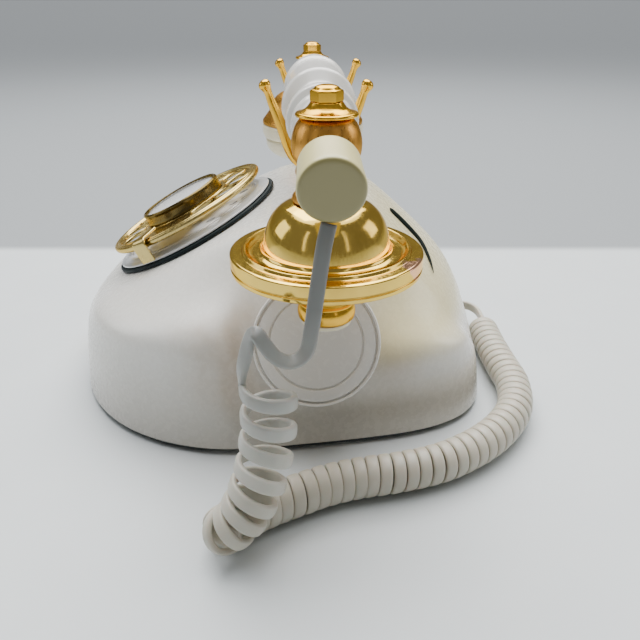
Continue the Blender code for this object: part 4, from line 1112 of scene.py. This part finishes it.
def make_finial(looks, end, matrix):
    """The ball joint, the flared cap and the acorn nut on one end."""
    ball = (
        (0.0, 0.0076), (0.0074, 0.0076, 0.0002), (0.0086, 0.0070), (0.0101, 0.0046),
        (0.0111, 0.0006), (0.0108, -0.0034), (0.0094, -0.0063),
    )
    neck = (
        (0.0087, -0.0070, 0.0002), (0.0095, -0.0072), (0.0100, -0.0087), (0.0095, -0.0102),
        (0.0087, -0.0107, 0.0002), (0.0086, -0.0142), (0.0094, -0.0152),
        (0.0104, -0.0156, 0.0003), (0.0111, -0.0166, 0.0003), (0.0111, -0.0177, 0.0001),
        (0.0, -0.0177),
    )
    base = ((0.0090, -0.0065, 0.0001), (0.0, -0.0065))
    profile = ball + (neck if end == "transmitter" else base)
    dress_turned(end + "_ball", profile, matrix, 96, looks["copper"], "handset")
    cap = (
        (0.0, 0.01205), (0.0050, 0.01205, 0.0001), (0.0054, 0.0114), (0.0063, 0.0102),
        (0.0080, 0.0094), (0.0094, 0.0091, 0.0004), (0.0098, 0.0084, 0.0004),
        (0.0094, 0.0079, 0.0002), (0.0070, 0.0079, 0.0), (0.0, 0.0079),
    )
    dress_turned(end + "_finial_cap", cap, matrix, 96, looks["gold"], "handset")

    def hexagon(radius, height, turn):
        """Six flats low down, turning into a round dome."""
        flat = math.cos(math.pi / 6) / math.cos((turn % (math.pi / 3)) - math.pi / 6)
        share = min(1.0, max(0.0, (0.0163 - height) / 0.0012))
        return radius * (1 - share + share * flat)

    nut = (
        (0.0, 0.0170), (0.0020, 0.0170), (0.0034, 0.0165), (0.0042, 0.0157, 0.0005),
        (0.0049, 0.0154, 0.0002), (0.0051, 0.0151, 0.0002), (0.0051, 0.01235, 0.0001),
        (0.0050, 0.01220, 0.0001), (0.0, 0.01220),
    )
    name = end + "_acorn_nut"
    turned = matrix @ Matrix.Rotation(math.pi / 6, 4, "Z")
    mesh = turned_mesh(name + "_visual", nut, turned, 96, hexagon)
    dress(name, mesh, looks["gold"], "handset", sharp=25)


def make_transmitter(looks):
    bell = (
        (0.0, -0.0179), (0.0100, -0.0180), (0.0112, -0.0183, 0.0004), (0.0147, -0.0196),
        (0.0178, -0.0226), (0.0199, -0.0268), (0.0209, -0.0318), (0.0211, -0.0336, 0.0005),
        (0.0217, -0.0344, 0.0004), (0.0236, -0.0350), (0.0256, -0.0345),
        (0.0268, -0.0333, 0.0004), (0.0276, -0.0331, 0.0003), (0.0281, -0.0342, 0.0003),
        (0.0313, -0.0343, 0.0003), (0.0320, -0.0347, 0.0003), (0.0320, -0.0383, 0.0002),
        (0.0315, -0.0385, 0.0002), (0.0315, -0.0389, 0.0002), (0.0320, -0.0391, 0.0002),
        (0.0318, -0.0405, 0.0004), (0.0308, -0.0406, 0.0002), (0.0306, -0.0362, 0.0),
        (0.0205, -0.0358), (0.0196, -0.0340), (0.0185, -0.0282), (0.0160, -0.0240),
        (0.0122, -0.0206), (0.0, -0.0196),
    )
    place, body = TRANSMITTER, "handset"
    dress_turned("transmitter_bell", bell, place, 160, looks["bell"], body)
    spigot = (
        (0.0070, -0.0392, 0.0), (0.0300, -0.0392, 0.0), (0.0300, -0.0403, 0.0003),
        (0.0118, -0.0407, 0.0004), (0.0112, -0.0424, 0.0005), (0.0121, -0.0436),
        (0.0121, -0.0446), (0.0110, -0.0459, 0.0003), (0.0098, -0.0471, 0.0004),
        (0.0108, -0.0483), (0.0112, -0.0502), (0.0104, -0.0516), (0.0091, -0.0535, 0.0004),
        (0.0098, -0.0550), (0.0101, -0.0569), (0.0097, -0.0590, 0.0004),
        (0.0070, -0.0594, 0.0002),
    )
    dress_turned("mouthpiece_spigot", spigot, place, 96, looks["gold"], body)
    lip = (
        (0.0070, -0.0597, 0.0001), (0.0088, -0.0597, 0.0003), (0.0088, -0.0610, 0.0005),
        (0.0080, -0.0614, 0.0004), (0.0070, -0.0614, 0.0003),
    )
    dress_turned("mouthpiece_lip", lip, place, 64, looks["ivory"], body)


def make_receiver(looks):
    bell = (
        (0.0, -0.0067), (0.0094, -0.0067, 0.0004), (0.0098, -0.0080, 0.0004), (0.0112, -0.0088),
        (0.0152, -0.0094), (0.0196, -0.0110), (0.0226, -0.0136), (0.0242, -0.0172),
        (0.0260, -0.0208), (0.0286, -0.0240), (0.0300, -0.0258, 0.0004),
        (0.0301, -0.0274, 0.0003), (0.0286, -0.0274, 0.0002), (0.0272, -0.0252),
        (0.0246, -0.0220), (0.0226, -0.0180), (0.0213, -0.0150), (0.0188, -0.0126),
        (0.0145, -0.0108), (0.0, -0.0098),
    )
    dress_turned("receiver_bell", bell, RECEIVER, 128, looks["copper"], "handset")
    ring = (
        (0.0262, -0.0277, 0.0), (0.0299, -0.0277, 0.0003), (0.0304, -0.0292, 0.0006),
        (0.0304, -0.0316), (0.0299, -0.0340), (0.0290, -0.0355, 0.0004), (0.0262, -0.0356, 0.0),
    )
    dress_turned("receiver_ring", ring, RECEIVER, 128, looks["ivory"], "handset")
    ear_cap = (
        (0.0, -0.0359), (0.0278, -0.0359, 0.0002), (0.0285, -0.0368, 0.0006), (0.0284, -0.0392),
        (0.0270, -0.0430), (0.0228, -0.0462), (0.0172, -0.0470), (0.0120, -0.0462),
        (0.0080, -0.0451), (0.0, -0.0447),
    )
    helpers = []
    for row, count in ((0.0, 1), (0.0042, 6), (0.0084, 12)):
        for step in range(count):
            turn = 2 * math.pi * step / count
            place = Matrix.Translation((row * math.cos(turn), row * math.sin(turn), 0.0))
            helpers.append(disc_mesh("ear_hole", 0.0009, -0.06, -0.043, RECEIVER @ place, 16))
    mesh = turned_mesh("ear_cap_visual", ear_cap, RECEIVER, 128)
    mesh = combined("ear_cap_visual", mesh, helpers)
    dress("ear_cap", mesh, looks["ivory"], "handset")


def make_cord_cap(looks):
    """The cap that the cord leaves by, turned, with a narrower neck at its inner end."""
    cap = (
        (0.0, CAP_END), (0.0077, CAP_END), (0.0092, CAP_END - 0.0004, 0.0008),
        (0.0097, CAP_END - 0.0014, 0.0008), (0.0094, 0.0250), (0.0093, 0.0184, 0.0005),
        (0.0088, 0.0175, 0.0006), (0.0050, 0.0174, 0.0002), (0.0050, 0.0114, 0.0),
        (0.0, 0.0114),
    )
    return dress_turned("cord_cap", cap, CAP, 96, looks["cap"], "handset")


def make_strain_relief(looks):
    """A ribbed collar in the rear wall."""
    low, high = (Vector(corner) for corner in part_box("cord_strain_relief"))
    neck = (high.x - low.x) / 2 - 0.0020
    middle_x, middle_z = (low.x + high.x) / 2, (low.z + high.z) / 2
    out = Matrix.Translation((middle_x, high.y, middle_z)) @ Matrix.Rotation(-math.pi / 2, 4, "X")
    deep = high.y - low.y
    boot = [(0.0, 0.0), (neck - 0.0008, 0.0, 0.0003)]
    for rib in range(3):
        start = -0.0004 - 0.0016 * rib
        boot += [(neck, start - 0.0003, 0.0002), (neck, start - 0.0009, 0.0002)]
        boot += [(neck - 0.0005, start - 0.0011, 0.0002), (neck - 0.0005, start - 0.0014, 0.0002)]
    collar = neck + 0.0019
    boot += [(neck, -0.0055, 0.0002), (neck, 0.0035 - deep, 0.0), (collar, 0.0033 - deep, 0.0002)]
    boot += [(collar, -deep, 0.0002), (0.0, -deep)]
    return dress_turned("cord_strain_relief", boot, out, 64, looks["cord"], "base")


# Carried-over CAD nodes


def dress_frame(looks):
    """Gives the CAD nodes that still show their detailed materials."""
    by_slot = {
        "plated_steel": "steel",
        "polished_brass": "gold",
        "tarnished_brass": "copper",
        "black_rubber": "rubber",
        "dark_plate": "plate",
        "board": "board",
        "copper_winding": "winding",
        "white_plastic": "white",
        "cream_plastic": "ivory",
        "cord_plastic": "cord",
        "white_card": "card",
        "clear_window": "window",
    }
    for part in frame["record"]["subparts"]:
        node = frame["nodes"][part["node"]]
        node.data.materials.clear()
        node.data.materials.append(looks[by_slot[part["material_slot"]]])


# Stage


def make_stage():
    """A pale floor that turns grey where the photographed wall begins, the lights and the world."""
    nodes = plastic("floor_paper", (0.66, 0.70, 0.715), (0.64, 0.68, 0.70), 0.55, 0.0)
    colour = nodes.colour()
    wall = nodes.range(nodes.axis("X"), -0.150, -0.135, 1.0, 0.0, soft=True)
    nodes.set(Base_Color=nodes.mix(wall, colour, (0.285, 0.305, 0.32)))
    shape = bmesh.new()
    bmesh.ops.create_grid(shape, x_segments=24, y_segments=24, size=40.0)
    mesh = finish_mesh("floor", shape)
    floor = link_object("floor", mesh)
    mesh.materials.append(nodes.material)
    make_light("AREA", "overhead", (-0.50, 0.0, 1.05), 25.0, (1.0, 0.985, 0.96), size=1.2)
    make_light("AREA", "left_window", (-0.10, -0.85, 0.45), 1.4, (0.96, 0.98, 1.0), size=0.45)
    make_light("AREA", "right_window", (-0.10, 0.85, 0.45), 1.4, (1.0, 0.98, 0.95), size=0.40)
    for side in (1, -1):
        strip = {"shape": "RECTANGLE", "size": 0.05, "size_y": 0.45}
        make_light("AREA", "strip", (0.50, side * 0.34, 0.36), 0.10, (1.0, 0.97, 0.92), **strip)
    make_light("SUN", "ceiling", (-0.60, 0.0, 2.0), 3.1, (0.98, 0.99, 1.0), angle=math.radians(70))
    world = bpy.data.worlds.new("studio")
    world.use_nodes = True
    tree = world.node_tree
    back = tree.nodes["Background"]
    back.inputs["Color"].default_value = (0.80, 0.80, 0.80, 1.0)
    ray = tree.nodes.new("ShaderNodeLightPath")
    strength = tree.nodes.new("ShaderNodeMapRange")
    tree.links.new(ray.outputs["Is Glossy Ray"], strength.inputs["Value"])
    strength.inputs["To Min"].default_value = 0.07
    strength.inputs["To Max"].default_value = 0.30
    tree.links.new(strength.outputs[0], back.inputs["Strength"])
    bpy.context.scene.world = world


def make_light(kind, name, place, power, colour, **settings):
    data = bpy.data.lights.new(name, kind)
    data.energy = power
    data.color = colour
    for key, value in settings.items():
        setattr(data, key, value)
    light = link_object(name, data)
    light.location = place
    aim = Vector(LIGHT_TARGET) - Vector(place)
    light.rotation_euler = aim.to_track_quat("-Z", "Y").to_euler()


def make_camera():
    data = bpy.data.cameras.new("camera")
    data.lens = 36.0
    data.sensor_width = 36.0
    data.shift_x = CAMERA_SHIFT
    data.clip_start = 0.01
    camera = link_object("camera", data)
    camera.location = CAMERA_PLACE
    forward = Vector((-math.cos(CAMERA_PITCH), 0.0, -math.sin(CAMERA_PITCH)))
    camera.rotation_euler = forward.to_track_quat("-Z", "Y").to_euler()
    bpy.context.scene.camera = camera


def main():
    make_camera()
    looks = make_materials()
    pieces = [make_cord_cap(looks), make_strain_relief(looks)]
    make_cord(looks)
    make_shell(looks)
    make_rosettes(looks)
    make_badge(looks)
    make_dial_plate(looks)
    make_digits(looks)
    make_finger_wheel(looks)
    make_hub(looks)
    make_finger_stop(looks)
    for name in ("cradle_fork_left", "cradle_fork_right"):
        make_fork(looks, name)
    make_grip(looks)
    make_finial(looks, "transmitter", TRANSMITTER)
    make_finial(looks, "receiver", RECEIVER)
    make_transmitter(looks)
    make_receiver(looks)
    dress_frame(looks)
    make_stage()


main()
